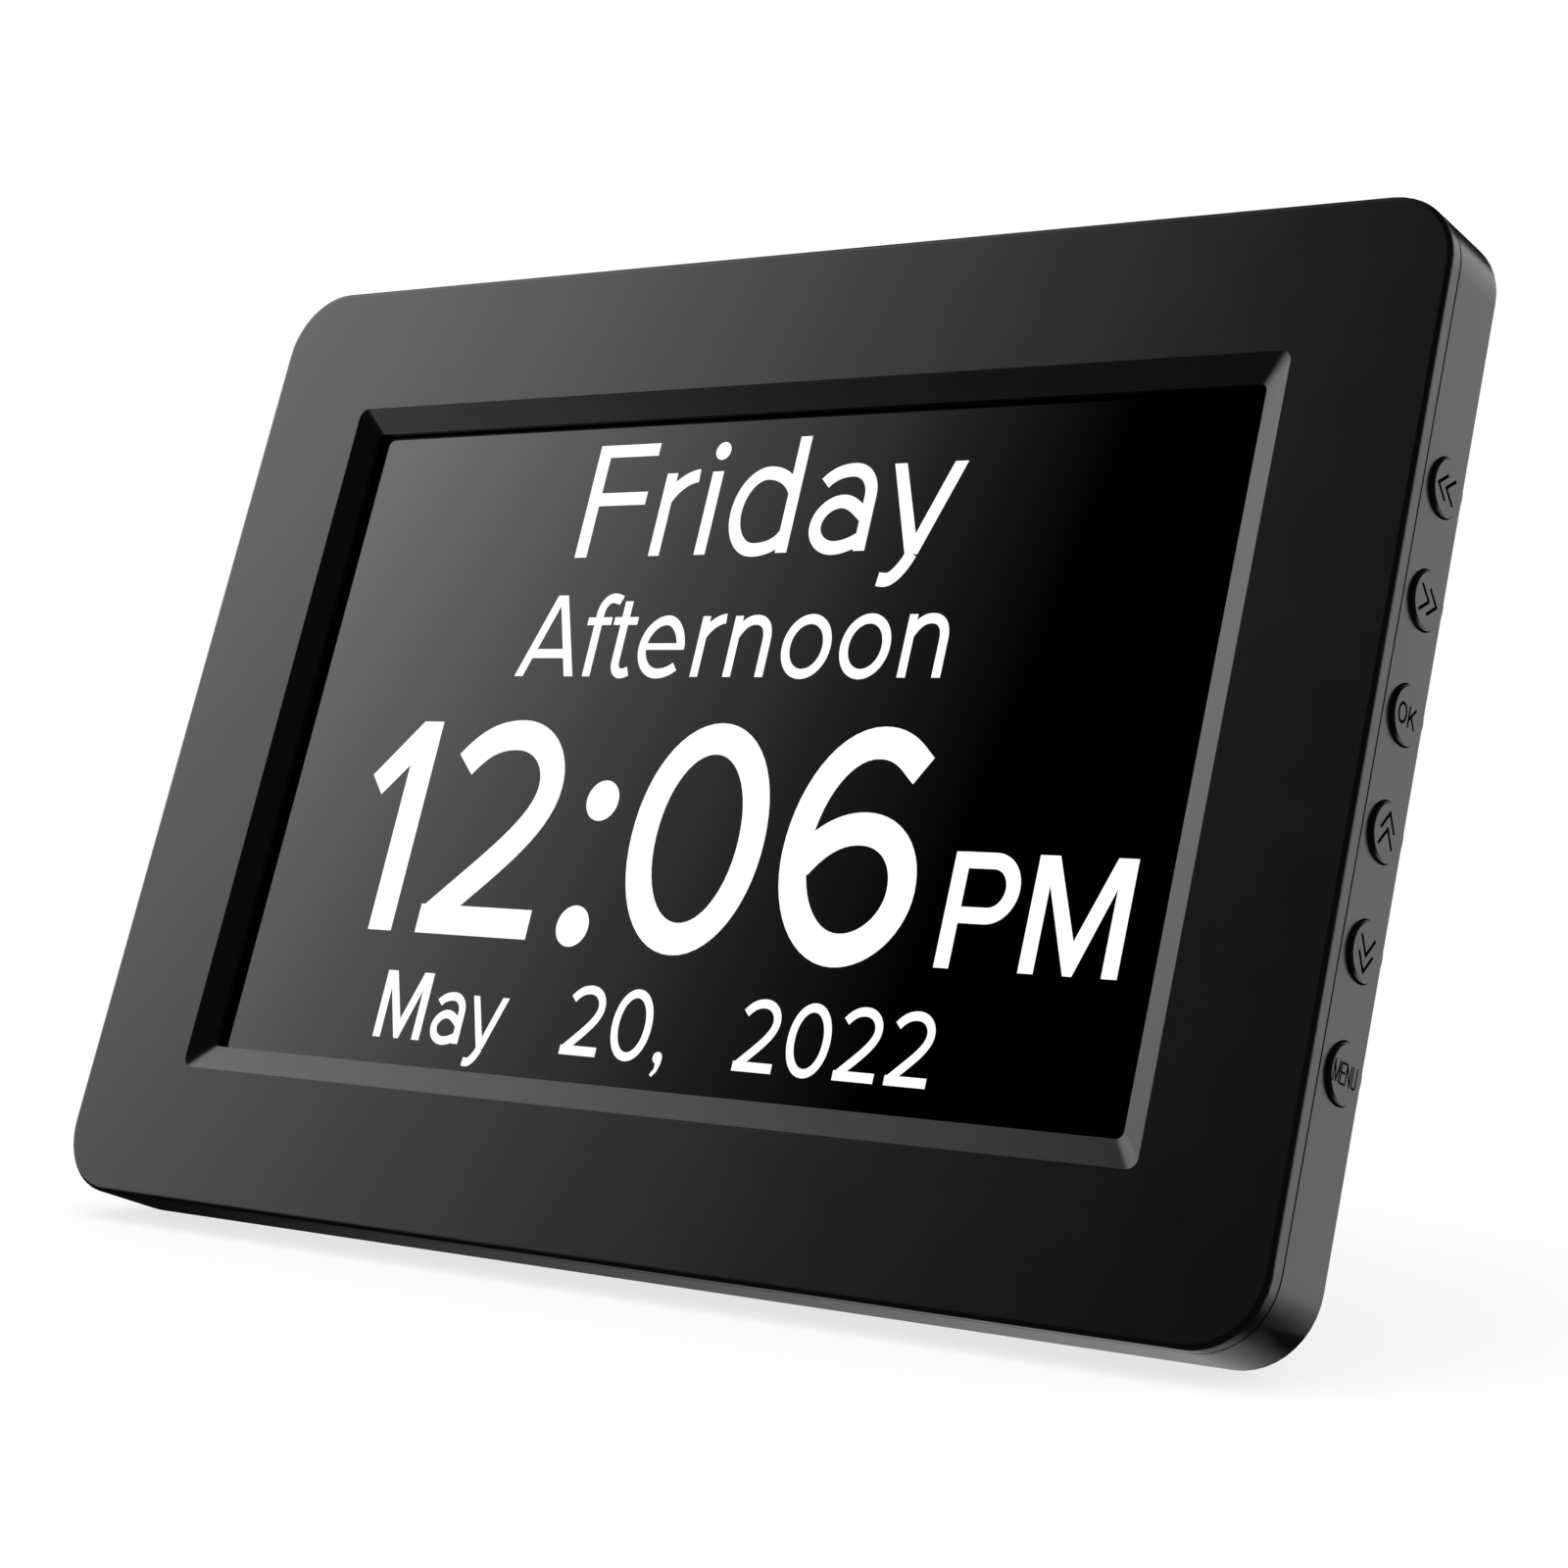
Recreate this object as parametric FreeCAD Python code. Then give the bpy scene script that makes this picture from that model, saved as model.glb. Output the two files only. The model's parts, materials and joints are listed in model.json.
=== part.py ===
import FreeCAD, Part
import math
import os
from FreeCAD import Placement, Rotation, Vector

# Day clock on a folding stand.  Millimetres and degrees throughout.
# Every piece is drawn in the clock's own frame: x to the viewer's right, y from the front
# face towards the back, z up along the face, with the origin at the centre of the face.
# The last section leans that frame back and puts the part on its feet.

os.makedirs("parts", exist_ok=True)

# ---------------------------------------------------------------- driving dimensions

# case
case_width = 200.0
case_height = 140.0
corner_radius = 9.7
bezel_depth = 2.2          # thickness of the front moulding, which shows as the side strip
side_depth = 12.4          # front face to the rear edge of the side wall
side_wall = 2.2
rear_wall = 2.0
face_edge_radius = 0.65
rear_edge_chamfer = 0.6
seam_gap = 0.3             # shadow line between the two mouldings
seam_lip = 0.8             # how deep that line goes
lean_angle = 20.0

# window in the bezel
face_side_border = 19.6    # flat face beside the window
face_top_border = 19.4     # flat face above and below it, on average
window_centre = -0.4       # middle of the window below the middle of the face
window_radius = 1.5
bevel_width = 3.6
bevel_depth = 1.6
bevel_corner_radius = 1.0

# raised housing on the back
hump_side_border = 25.0    # flat rear surface beside the housing
hump_end_border = 18.0     # the same above and below, on average
hump_centre = -6.0
hump_radius = 12.0
hump_depth = 12.0
hump_draft = 15.0
hump_edge_radius = 2.0

# inner ribs and clearances
rib_thickness = 1.2
rib_reach = 3.0            # how far the locating rib enters the rear cover
fit_gap = 0.2              # general assembly clearance

# screws that close the case
boss_inset = 10.0          # screw centre to the outer side of the case
boss_radius = 3.6
boss_joint = 7.6           # depth at which the two halves' bosses meet
case_screw_radius = 1.25
case_screw_head_radius = 2.7
case_screw_head_height = 1.8
case_screw_reach = 5.0     # thread length inside the bezel's boss
screw_head_sink = 0.8      # head below the rear surface
screw_hole_play = 0.35

# display
panel_side_cover = 5.6     # width of the panel hidden behind the bezel at each side
panel_end_cover = 5.05     # the same above and below
gasket_setback = 0.3       # foam behind the window's inner edge
gasket_thickness = 0.6
glass_thickness = 1.1
guide_thickness = 2.2
tray_sheet = 0.5
light_strip_height = 3.0
clip_post_radius = 2.3
clip_reach = 9.0           # how far a clip lies over the tray
clip_width = 14.0
clip_thickness = 0.6
small_screw_radius = 0.9
small_screw_head_radius = 1.8
small_screw_head_height = 1.1
small_screw_reach = 3.0

# keys on the right side
key_count = 6
key_radius = 3.58
key_proud = 0.6
key_edge = 0.2
key_pitch = 14.17
key_top = 34.5             # height of the top key
key_setback = 0.2          # key axis behind the middle of the side wall
key_back_gap = 0.2         # key ears and switches to the rear wall
key_gap = 0.2
key_travel = 0.5
key_ear_length = 11.0      # the ears keep the key from falling out
key_ear_thickness = 1.0
key_stalk_size = 2.2
key_stalk_length = 0.9
plunger_size = 2.4         # square-headed switches
plunger_height = 0.7
plunger_gap = 0.1
switch_height = 3.5
key_board_thickness = 1.2
key_board_margin = 8.0     # board beyond the end keys
key_board_front = 3.4      # front edge of the key board behind the face
key_slot_length = 4.0

# main board and what it carries
board_side_room = 13.0     # from the board's edge to the foot of the housing's wall
board_end_room = 11.0
board_centre_x = 2.0
board_drop = 2.0           # board's middle below the housing's
board_thickness = 1.6
board_gap = 2.8            # from the display's tray to the board
board_screw_inset = 5.0
board_post_radius = 2.7
controller_size = 14.0
controller_height = 1.4
memory_length = 8.0
memory_width = 5.3
memory_height = 1.6
crystal_length = 11.0
crystal_width = 4.6
crystal_height = 3.4
capacitor_radius = 3.15
capacitor_height = 5.4
cell_radius = 10.0
cell_thickness = 3.2
cell_z = 8.0
holder_wall = 1.4
holder_floor = 1.0
holder_room = 4.4          # holder to the wall of the stand's pocket
part_room = 2.0            # other components to that wall
socket_width = 26.0
socket_length = 5.0
socket_gap = 1.0           # from the tray to the sockets on the board
ribbon_thickness = 0.25
ribbon_width = 24.0
ribbon_drop = 2.0          # straight run below the glass before the bend
key_ribbon_width = 10.0
key_ribbon_bow = 0.8       # the ribbon bows towards the front
key_socket_z = -20.0

# power inlet
jack_inset = 15.0          # middle of the jack to the board's right edge
jack_width = 9.0
jack_height = 10.0
jack_length = 12.0
jack_overhang = 3.0        # jack body past the board's lower edge
jack_axis_height = 5.9     # bore above the board
jack_nose_radius = 4.0
jack_bore_radius = 3.15
jack_bore_depth = 9.5
jack_pin_radius = 1.0
jack_pin_setback = 0.8
inlet_gap = 0.4

# sounder
speaker_z = 6.0
speaker_radius = 14.0
speaker_rim = 2.0
speaker_cup = 3.2
speaker_sheet = 0.8
cone_throat_radius = 4.5
speaker_magnet_radius = 6.5
speaker_magnet_height = 1.8
grille_slots = 7
grille_pitch = 3.6
grille_slot_width = 1.6

# back openings
keyhole_inset = 40.0       # keyhole to the side of the case
keyhole_drop = 14.0        # keyhole below the top of the case
keyhole_radius = 4.25
keyhole_slot = 4.4
keyhole_rise = 6.0
vent_slots = 9
vent_pitch = 6.0
vent_width = 2.0
vent_length = 12.0

# folding stand
stand_open_angle = 38.0
stand_hinge_height = 10.0  # hinge above the middle of the face
stand_share = 0.36         # width of the stand as a share of the housing's
stand_taper = 10.0         # how much narrower its foot is
stand_depth = 5.8          # ribs included
stand_plate = 2.2
stand_rib = 1.8
stand_bays = 3
stand_corner_radius = 2.4
barrel_radius = 3.5
pocket_gap = 0.6
pocket_depth = 7.4
pocket_wall = 2.4
pocket_head = 7.0          # pocket above the hinge
heel_length = 4.5
stop_gap = 0.1
pin_radius = 1.5
pin_play = 0.05
bay_head = 9.0             # solid part of the stand below the hinge
bay_foot = 8.0             # solid part above the pad
pad_thickness = 1.2
pad_inset = 0.6

# ---------------------------------------------------------------- derived places

half_width = case_width / 2
half_height = case_height / 2
inner_wall_x = half_width - side_wall
rear_inner = side_depth - rear_wall
window_width = case_width - 2 * face_side_border
window_height = case_height - 2 * face_top_border
land_width = window_width - 2 * bevel_width
land_height = window_height - 2 * bevel_width
hump_width = case_width - 2 * hump_side_border
hump_height = case_height - 2 * hump_end_border
hump_back = side_depth + hump_depth
hump_inner = hump_back - rear_wall
hump_taper = hump_depth * math.tan(math.radians(hump_draft))
hump_bottom = hump_centre - hump_height / 2

panel_width = land_width + 2 * panel_side_cover
panel_height = land_height + 2 * panel_end_cover
panel_bottom = window_centre - panel_height / 2
panel_top = window_centre + panel_height / 2
glass_front = bezel_depth + gasket_thickness
glass_back = glass_front + glass_thickness
guide_back = glass_back + guide_thickness
tray_back = guide_back + tray_sheet

boss_x = half_width - boss_inset
boss_z = half_height - boss_inset
screw_seat = side_depth - screw_head_sink - case_screw_head_height
clip_x = panel_width / 2 + fit_gap + rib_thickness / 2 + clip_post_radius

key_depth = (bezel_depth + side_depth) / 2 + key_setback
key_room = 2 * (rear_inner - key_depth - key_back_gap)     # depth of the ears and the switches
key_heights = [key_top - i * key_pitch for i in range(key_count)]
key_names = ["previous", "next", "ok", "up", "down", "menu"]
key_stalk_end = inner_wall_x - key_ear_thickness - key_stalk_length
switch_top = key_stalk_end - plunger_height
key_board_outer = switch_top - switch_height
key_board_inner = key_board_outer - key_board_thickness
key_board_top = key_heights[0] + key_board_margin
key_board_bottom = key_heights[-1] - key_board_margin

board_width = hump_width - 2 * board_side_room
board_height = hump_height - 2 * board_end_room
board_centre_z = hump_centre - board_drop
board_depth = tray_back + board_gap
board_back = board_depth + board_thickness
socket_height = board_gap - socket_gap
board_right = board_centre_x + board_width / 2
board_bottom = board_centre_z - board_height / 2
board_screw_x = board_width / 2 - board_screw_inset
board_screw_z = board_height / 2 - board_screw_inset
ribbon_plane = board_depth - socket_height / 2
jack_x = board_right - jack_inset
jack_axis = board_back + jack_axis_height
keyhole_x = half_width - keyhole_inset
keyhole_height = half_height - keyhole_drop
speaker_x = -hump_width / 3

stand_width = stand_share * hump_width
stand_foot_width = stand_width - stand_taper
stand_outer = hump_back
hinge_y = stand_outer - barrel_radius
pocket_floor = hump_back - pocket_depth
pocket_half = stand_width / 2 + pocket_gap
pocket_top = stand_hinge_height + pocket_head
pocket_outside = pocket_half + pocket_wall
cell_x = pocket_outside + holder_room + holder_wall + fit_gap + cell_radius

# The table plane, as a height measured along the true vertical in the clock's frame.
lean = math.radians(lean_angle)
up = Vector(0, -math.sin(lean), math.cos(lean))
rear_edge = Vector(0, side_depth - rear_edge_chamfer, -half_height)
table_level = up.dot(rear_edge)
hinge = Vector(0, hinge_y, stand_hinge_height)
foot_tilt = math.radians(stand_open_angle - lean_angle)
stand_length = (up.dot(hinge) - table_level) / math.cos(foot_tilt)

# ---------------------------------------------------------------- building helpers

x_axis = Vector(1, 0, 0)
y_axis = Vector(0, 1, 0)
z_axis = Vector(0, 0, 1)


def block(x0, x1, y0, y1, z0, z1):
    """Box between two corners."""
    return Part.makeBox(x1 - x0, y1 - y0, z1 - z0, Vector(x0, y0, z0))


def rod(radius, start, end):
    """Cylinder between two points."""
    along = end - start
    return Part.makeCylinder(radius, along.Length, start, along)


def depth_rod(radius, x, z, y0, y1):
    """Cylinder square to the face."""
    return rod(radius, Vector(x, y0, z), Vector(x, y1, z))


def rounded_outline(width, height, radius, y, x=0.0, z=0.0):
    """Rectangle with round corners, in a plane parallel to the face."""
    edges = []
    corners = [(1, 1), (-1, 1), (-1, -1), (1, -1)]
    for i, (sx, sz) in enumerate(corners):
        centre = Vector(x + sx * (width / 2 - radius), y, z + sz * (height / 2 - radius))
        start = math.radians(90 * i)
        points = []
        for turn in (0, 45, 90):
            angle = start + math.radians(turn)
            points.append(centre + Vector(math.cos(angle), 0, math.sin(angle)) * radius)
        edges.append(Part.Arc(*points).toShape())
    sides = []
    for i, edge in enumerate(edges):
        following = edges[(i + 1) % len(edges)]
        a = edge.valueAt(edge.LastParameter)
        b = following.valueAt(following.FirstParameter)
        sides.append(Part.makeLine(a, b))
    ordered = []
    for corner, side in zip(edges, sides):
        ordered += [corner, side]
    return Part.Wire(ordered)


def rounded_block(width, height, radius, y0, y1, x=0.0, z=0.0):
    """Rounded rectangle given a thickness from y0 to y1."""
    face = Part.Face(rounded_outline(width, height, radius, y0, x, z))
    return face.extrude(y_axis * (y1 - y0))


def rounded_frame(width, height, radius, thickness, y0, y1):
    """Closed rib that follows a rounded rectangle, thickness measured inwards."""
    outer = rounded_block(width, height, radius, y0, y1)
    inner = rounded_block(width - 2 * thickness, height - 2 * thickness, radius - thickness, y0, y1)
    return outer.cut(inner)


def square_frame(width, height, thickness, y0, y1):
    """Closed rib with square corners round the window's middle, thickness measured inwards."""
    low, high = window_centre - height / 2, window_centre + height / 2
    inside = width / 2 - thickness
    outer = block(-width / 2, width / 2, y0, y1, low, high)
    return outer.cut(block(-inside, inside, y0, y1, low + thickness, high - thickness))


def edges_at_depth(shape, y):
    """Edges that lie wholly in the plane at depth y."""
    close = 1e-4
    return [e for e in shape.Edges
            if abs(e.BoundBox.YMin - y) < close and abs(e.BoundBox.YMax - y) < close]


def slot(width, length, x, z, y0, y1):
    """Upright slot."""
    return block(x - width / 2, x + width / 2, y0, y1, z - length / 2, z + length / 2)


def corners(dx, dz, x=0.0, z=0.0):
    """The four corner places of a rectangle."""
    return [(x + sx * dx, z + sz * dz) for sx in (-1, 1) for sz in (-1, 1)]


def join(first, *others):
    """Fuse and tidy the faces."""
    return first.fuse(list(others)).removeSplitter()


pieces = {}


def keep(name, *solids):
    """Record a node; several solids make a group."""
    pieces[name] = solids[0] if len(solids) == 1 else Part.makeCompound(list(solids))


# ---------------------------------------------------------------- front bezel

def window_cut():
    """Bevelled opening: a mitred slope down to a straight land."""
    mouth = rounded_outline(window_width, window_height, window_radius, 0, 0, window_centre)
    land = rounded_outline(land_width, land_height, bevel_corner_radius, bevel_depth,
                           0, window_centre)
    slope = Part.makeLoft([mouth, land], True, True)
    through = rounded_block(land_width, land_height, bevel_corner_radius,
                            bevel_depth, bezel_depth, 0, window_centre)
    return slope.fuse(through)


def locating_rib():
    """Rib that enters the rear cover, interrupted where the keys pass."""
    inset = side_wall + fit_gap
    rib = rounded_frame(case_width - 2 * inset, case_height - 2 * inset, corner_radius - inset,
                        rib_thickness, bezel_depth, bezel_depth + rib_reach)
    key_zone = block(half_width - 4 * inset, half_width, bezel_depth, bezel_depth + rib_reach,
                     key_board_bottom, key_board_top)
    return rib.cut(key_zone)


def panel_rib():
    """Rib round the display, open at the bottom for the ribbon."""
    width = panel_width + 2 * (fit_gap + rib_thickness)
    height = panel_height + 2 * (fit_gap + rib_thickness)
    rib = square_frame(width, height, rib_thickness, bezel_depth, glass_back)
    ribbon_way = block(-ribbon_width / 2 - 1, ribbon_width / 2 + 1, bezel_depth, glass_back,
                       window_centre - height / 2, panel_bottom)
    return rib.cut(ribbon_way)


clip_places = [(-clip_x, 0), (clip_x, 0)]


def make_bezel():
    plate = rounded_block(case_width, case_height, corner_radius, 0, bezel_depth)
    plate = plate.makeFillet(face_edge_radius, edges_at_depth(plate, 0))
    plate = plate.cut(window_cut())
    bosses = [depth_rod(boss_radius, x, z, bezel_depth, boss_joint)
              for x, z in corners(boss_x, boss_z)]
    posts = [depth_rod(clip_post_radius, x, z, bezel_depth, tray_back)
             for x, z in clip_places]
    bezel = join(plate, locating_rib(), panel_rib(), *bosses, *posts)
    pilots = [depth_rod(case_screw_radius, x, z, boss_joint - case_screw_reach, boss_joint)
              for x, z in corners(boss_x, boss_z)]
    clip_pilots = [depth_rod(small_screw_radius, x, z, tray_back - small_screw_reach, tray_back)
                   for x, z in clip_places]
    return bezel.cut(pilots + clip_pilots)


keep("front_bezel", make_bezel())

# ---------------------------------------------------------------- display stack

keep("screen_gasket",
     square_frame(panel_width, panel_height, panel_end_cover - gasket_setback,
                  bezel_depth, glass_front))
keep("display_glass",
     block(-panel_width / 2, panel_width / 2, glass_front, glass_back,
           panel_bottom, panel_top))


def make_tray():
    """Folded metal pan behind the glass."""
    outer = block(-panel_width / 2, panel_width / 2, glass_back, tray_back,
                  panel_bottom, panel_top)
    inner = block(tray_sheet - panel_width / 2, panel_width / 2 - tray_sheet,
                  glass_back, guide_back, panel_bottom + tray_sheet, panel_top - tray_sheet)
    return outer.cut(inner)


guide_bottom = panel_bottom + tray_sheet + light_strip_height
keep("backlight_tray", make_tray())
keep("light_strip",
     block(tray_sheet - panel_width / 2, panel_width / 2 - tray_sheet, glass_back, guide_back,
           panel_bottom + tray_sheet, guide_bottom))
keep("light_guide",
     block(tray_sheet - panel_width / 2, panel_width / 2 - tray_sheet, glass_back, guide_back,
           guide_bottom, panel_top - tray_sheet))


def make_clip(x, z):
    """Flat clip from its post over the edge of the tray."""
    side = math.copysign(1, x)
    outer_end = x + side * clip_post_radius
    inner_end = side * (panel_width / 2 - clip_reach)
    clip = block(min(outer_end, inner_end), max(outer_end, inner_end),
                 tray_back, tray_back + clip_thickness, z - clip_width / 2, z + clip_width / 2)
    return clip.cut(depth_rod(small_screw_radius, x, z, tray_back, tray_back + clip_thickness))


def small_screw(x, z, seat, reach, towards_back):
    """Pan head and shank; the head stands on the side the screw is driven from."""
    side = 1 if towards_back else -1
    head = depth_rod(small_screw_head_radius, x, z, seat, seat + side * small_screw_head_height)
    shank = depth_rod(small_screw_radius, x, z, seat - side * reach, seat)
    return join(head, shank)


keep("panel_clips", *[make_clip(x, z) for x, z in clip_places])
keep("clip_screws",
     *[small_screw(x, z, tray_back + clip_thickness, small_screw_reach, True)
       for x, z in clip_places])

# ---------------------------------------------------------------- rear cover


def hump_solid(shrink, y0, y1):
    """Drafted raised housing between two depths, shrunk by a wall.

    Two drafted slabs cross, and a cone rounds each corner.
    """
    pulls = [shrink + (y - side_depth) / hump_depth * hump_taper for y in (y0, y1)]
    core_x = hump_width / 2 - hump_radius
    core_z = hump_height / 2 - hump_radius
    wide = [hump_width / 2 - pull for pull in pulls]
    high = [hump_height / 2 - pull for pull in pulls]
    low_z, high_z = hump_centre - core_z, hump_centre + core_z
    across = [Vector(-wide[0], y0, low_z), Vector(wide[0], y0, low_z),
              Vector(wide[1], y1, low_z), Vector(-wide[1], y1, low_z)]
    upright = [Vector(-core_x, y0, hump_centre - high[0]), Vector(-core_x, y0, hump_centre + high[0]),
               Vector(-core_x, y1, hump_centre + high[1]), Vector(-core_x, y1, hump_centre - high[1])]
    slabs = [Part.Face(Part.makePolygon(across + across[:1])).extrude(z_axis * (high_z - low_z)),
             Part.Face(Part.makePolygon(upright + upright[:1])).extrude(x_axis * (2 * core_x))]
    cones = [Part.makeCone(hump_radius - pulls[0], hump_radius - pulls[1], y1 - y0,
                           Vector(x, y0, z), y_axis)
             for x, z in corners(core_x, core_z, 0, hump_centre)]
    return join(*slabs, *cones)


def cover_outside():
    """Outer form: side walls, seam lip and raised housing."""
    sides = rounded_block(case_width, case_height, corner_radius,
                          bezel_depth + seam_gap, side_depth)
    sides = sides.makeChamfer(rear_edge_chamfer, edges_at_depth(sides, side_depth))
    lip = rounded_block(case_width - 2 * seam_lip, case_height - 2 * seam_lip,
                        corner_radius - seam_lip, bezel_depth, bezel_depth + seam_gap)
    hump = hump_solid(0, side_depth, hump_back)
    hump = hump.makeFillet(hump_edge_radius, edges_at_depth(hump, hump_back))
    return sides.fuse([lip, hump])


def cover_inside():
    """Everything that the walls enclose."""
    shallow = rounded_block(case_width - 2 * side_wall, case_height - 2 * side_wall,
                            corner_radius - side_wall, bezel_depth, rear_inner)
    return shallow.fuse(hump_solid(rear_wall, rear_inner, hump_inner))


def stand_pocket(grow):
    """Recess for the folded stand, or with a wall round it the boss that holds it."""
    return block(-pocket_half - grow, pocket_half + grow, pocket_floor - grow, hump_back,
                 hump_bottom - hump_depth, pocket_top + grow)


def key_slot(z0):
    """Pair of ribs that hold one end of the key board."""
    near = block(key_board_inner - fit_gap - rib_thickness, key_board_inner - fit_gap,
                 key_depth, rear_inner, z0, z0 + key_slot_length)
    far = block(key_board_outer + fit_gap, key_board_outer + fit_gap + rib_thickness,
                key_depth, rear_inner, z0, z0 + key_slot_length)
    return [near, far]


def keyhole(x):
    """Head entry below a narrow slot."""
    top = keyhole_height + keyhole_rise - keyhole_slot / 2
    entry = depth_rod(keyhole_radius, x, keyhole_height, rear_inner, side_depth)
    narrow = block(x - keyhole_slot / 2, x + keyhole_slot / 2, rear_inner, side_depth,
                   keyhole_height, top)
    end = depth_rod(keyhole_slot / 2, x, top, rear_inner, side_depth)
    return join(entry, narrow, end)


def speaker_grille():
    """Upright slots whose lengths follow the round sounder."""
    cuts = []
    reach = speaker_radius - speaker_rim
    for i in range(grille_slots):
        offset = (i - (grille_slots - 1) / 2) * grille_pitch
        length = 2 * math.sqrt(reach ** 2 - offset ** 2)
        cuts.append(slot(grille_slot_width, length, speaker_x + offset, speaker_z,
                         hump_inner, hump_back))
    return cuts


def vents():
    """Row of slots above the raised housing."""
    first = -(vent_slots - 1) / 2 * vent_pitch
    return [slot(vent_width, vent_length, first + i * vent_pitch, keyhole_height,
                 rear_inner, side_depth) for i in range(vent_slots)]


def make_cover():
    outside = cover_outside()
    cover = outside.cut(cover_inside())
    pocket_boss = stand_pocket(pocket_wall).common(hump_solid(0, side_depth, hump_back))
    bosses = [depth_rod(boss_radius, x, z, boss_joint, rear_inner)
              for x, z in corners(boss_x, boss_z)]
    posts = [depth_rod(board_post_radius, x, z, board_back, hump_inner)
             for x, z in corners(board_screw_x, board_screw_z, board_centre_x, board_centre_z)]
    speaker_ring = depth_rod(speaker_radius + fit_gap + rib_thickness, speaker_x, speaker_z,
                             hump_inner - speaker_rim, hump_inner)
    speaker_ring = speaker_ring.cut(depth_rod(speaker_radius + fit_gap, speaker_x, speaker_z,
                                              hump_inner - speaker_rim, hump_inner))
    slots = key_slot(key_board_top - key_slot_length) + key_slot(key_board_bottom)
    cover = cover.fuse([pocket_boss, speaker_ring] + bosses + posts + slots)
    cuts = [stand_pocket(0)]
    for x, z in corners(boss_x, boss_z):
        cuts.append(depth_rod(case_screw_radius + screw_hole_play, x, z, boss_joint, screw_seat))
        cuts.append(depth_rod(case_screw_head_radius + screw_hole_play, x, z,
                              screw_seat, side_depth))
    for x, z in corners(board_screw_x, board_screw_z, board_centre_x, board_centre_z):
        cuts.append(depth_rod(small_screw_radius, x, z, board_back,
                              board_back + small_screw_reach))
    for z in key_heights:
        cuts.append(rod(key_radius + key_gap, Vector(inner_wall_x - 2 * key_travel, key_depth, z),
                        Vector(half_width, key_depth, z)))
    cuts.append(rod(jack_nose_radius + inlet_gap,
                    Vector(jack_x, jack_axis, hump_bottom - hump_depth),
                    Vector(jack_x, jack_axis, hump_bottom + rear_wall + hump_taper)))
    cuts.append(rod(pin_radius + pin_play,
                    Vector(-pocket_outside, hinge_y, stand_hinge_height),
                    Vector(pocket_outside, hinge_y, stand_hinge_height)))
    cuts += [keyhole(-keyhole_x), keyhole(keyhole_x)]
    cuts += speaker_grille() + vents()
    return cover.cut(cuts).removeSplitter()


keep("rear_cover", make_cover())


def case_screw(x, z):
    """Pan-head screw driven from the back through the cover's boss into the bezel's."""
    head = depth_rod(case_screw_head_radius, x, z, screw_seat,
                     screw_seat + case_screw_head_height)
    shank = depth_rod(case_screw_radius, x, z, boss_joint - case_screw_reach, screw_seat)
    return join(head, shank)


keep("case_screws", *[case_screw(x, z) for x, z in corners(boss_x, boss_z)])

# ---------------------------------------------------------------- keys and their switches


def square_post(size, x0, x1, z):
    """Square bar on a key's axis."""
    half = size / 2
    return block(x0, x1, key_depth - half, key_depth + half, z - half, z + half)


def make_key(z):
    """Round cap through the wall, ears behind it and a square stalk for the switch."""
    face = half_width + key_proud
    cap = rod(key_radius, Vector(inner_wall_x, key_depth, z), Vector(face, key_depth, z))
    rim = [e for e in cap.Edges if abs(e.BoundBox.XMin - face) < 1e-4]
    cap = cap.makeChamfer(key_edge, rim)
    ears = block(inner_wall_x - key_ear_thickness, inner_wall_x,
                 key_depth - key_room / 2, key_depth + key_room / 2,
                 z - key_ear_length / 2, z + key_ear_length / 2)
    stalk = square_post(key_stalk_size, key_stalk_end, inner_wall_x - key_ear_thickness, z)
    return join(cap, ears, stalk)


def make_plunger(z):
    """Switch plunger, which reaches into the switch as far as the key travels and more."""
    return square_post(plunger_size, switch_top - 2 * key_travel, key_stalk_end, z)


def make_switch(z):
    """Square switch body with a blind well for the plunger."""
    body = square_post(key_room, key_board_outer, switch_top, z)
    well = square_post(plunger_size + 2 * plunger_gap, switch_top - 4 * key_travel, switch_top, z)
    return body.cut(well)


for name, z in zip(key_names, key_heights):
    keep(name + "_key", make_key(z))
    keep(name + "_plunger", make_plunger(z))
keep("key_switches", *[make_switch(z) for z in key_heights])
keep("key_board",
     block(key_board_inner, key_board_outer, key_board_front, rear_inner,
           key_board_bottom, key_board_top))

# ---------------------------------------------------------------- main board


def on_board_back(x0, x1, z0, z1, height):
    """Component block standing on the board's rear side."""
    return block(x0, x1, board_back, board_back + height, z0, z1)


def on_board_front(x0, x1, z0, z1, height):
    """Component block standing on the board's front side."""
    return block(x0, x1, board_depth - height, board_depth, z0, z1)


board = block(board_right - board_width, board_right, board_depth, board_back,
              board_bottom, board_bottom + board_height)
board_holes = [depth_rod(small_screw_radius, x, z, board_depth, board_back)
               for x, z in corners(board_screw_x, board_screw_z, board_centre_x, board_centre_z)]
keep("main_board", board.cut(board_holes))
keep("board_screws",
     *[small_screw(x, z, board_depth, small_screw_reach, False)
       for x, z in corners(board_screw_x, board_screw_z, board_centre_x, board_centre_z)])

keep("controller_chip",
     on_board_back(-controller_size / 2, controller_size / 2,
                   -controller_size, 0, controller_height))
memory_x = -controller_size - memory_length
keep("memory_chip",
     on_board_back(memory_x, memory_x + memory_length, -controller_size / 2,
                   memory_width - controller_size / 2, memory_height))
crystal_x = pocket_outside + part_room
crystal = rounded_block(crystal_length, crystal_width, crystal_width / 2 * 0.98, board_back,
                        board_back + crystal_height, crystal_x + crystal_length / 2,
                        -controller_size / 2)
keep("quartz_crystal", crystal)
capacitor_x = -pocket_outside - part_room - capacitor_radius
capacitor_z = board_bottom + board_end_room + 2 * capacitor_radius
keep("capacitors",
     *[depth_rod(capacitor_radius, capacitor_x - i * 3 * capacitor_radius, capacitor_z,
                 board_back, board_back + capacitor_height) for i in range(2)])


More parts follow.
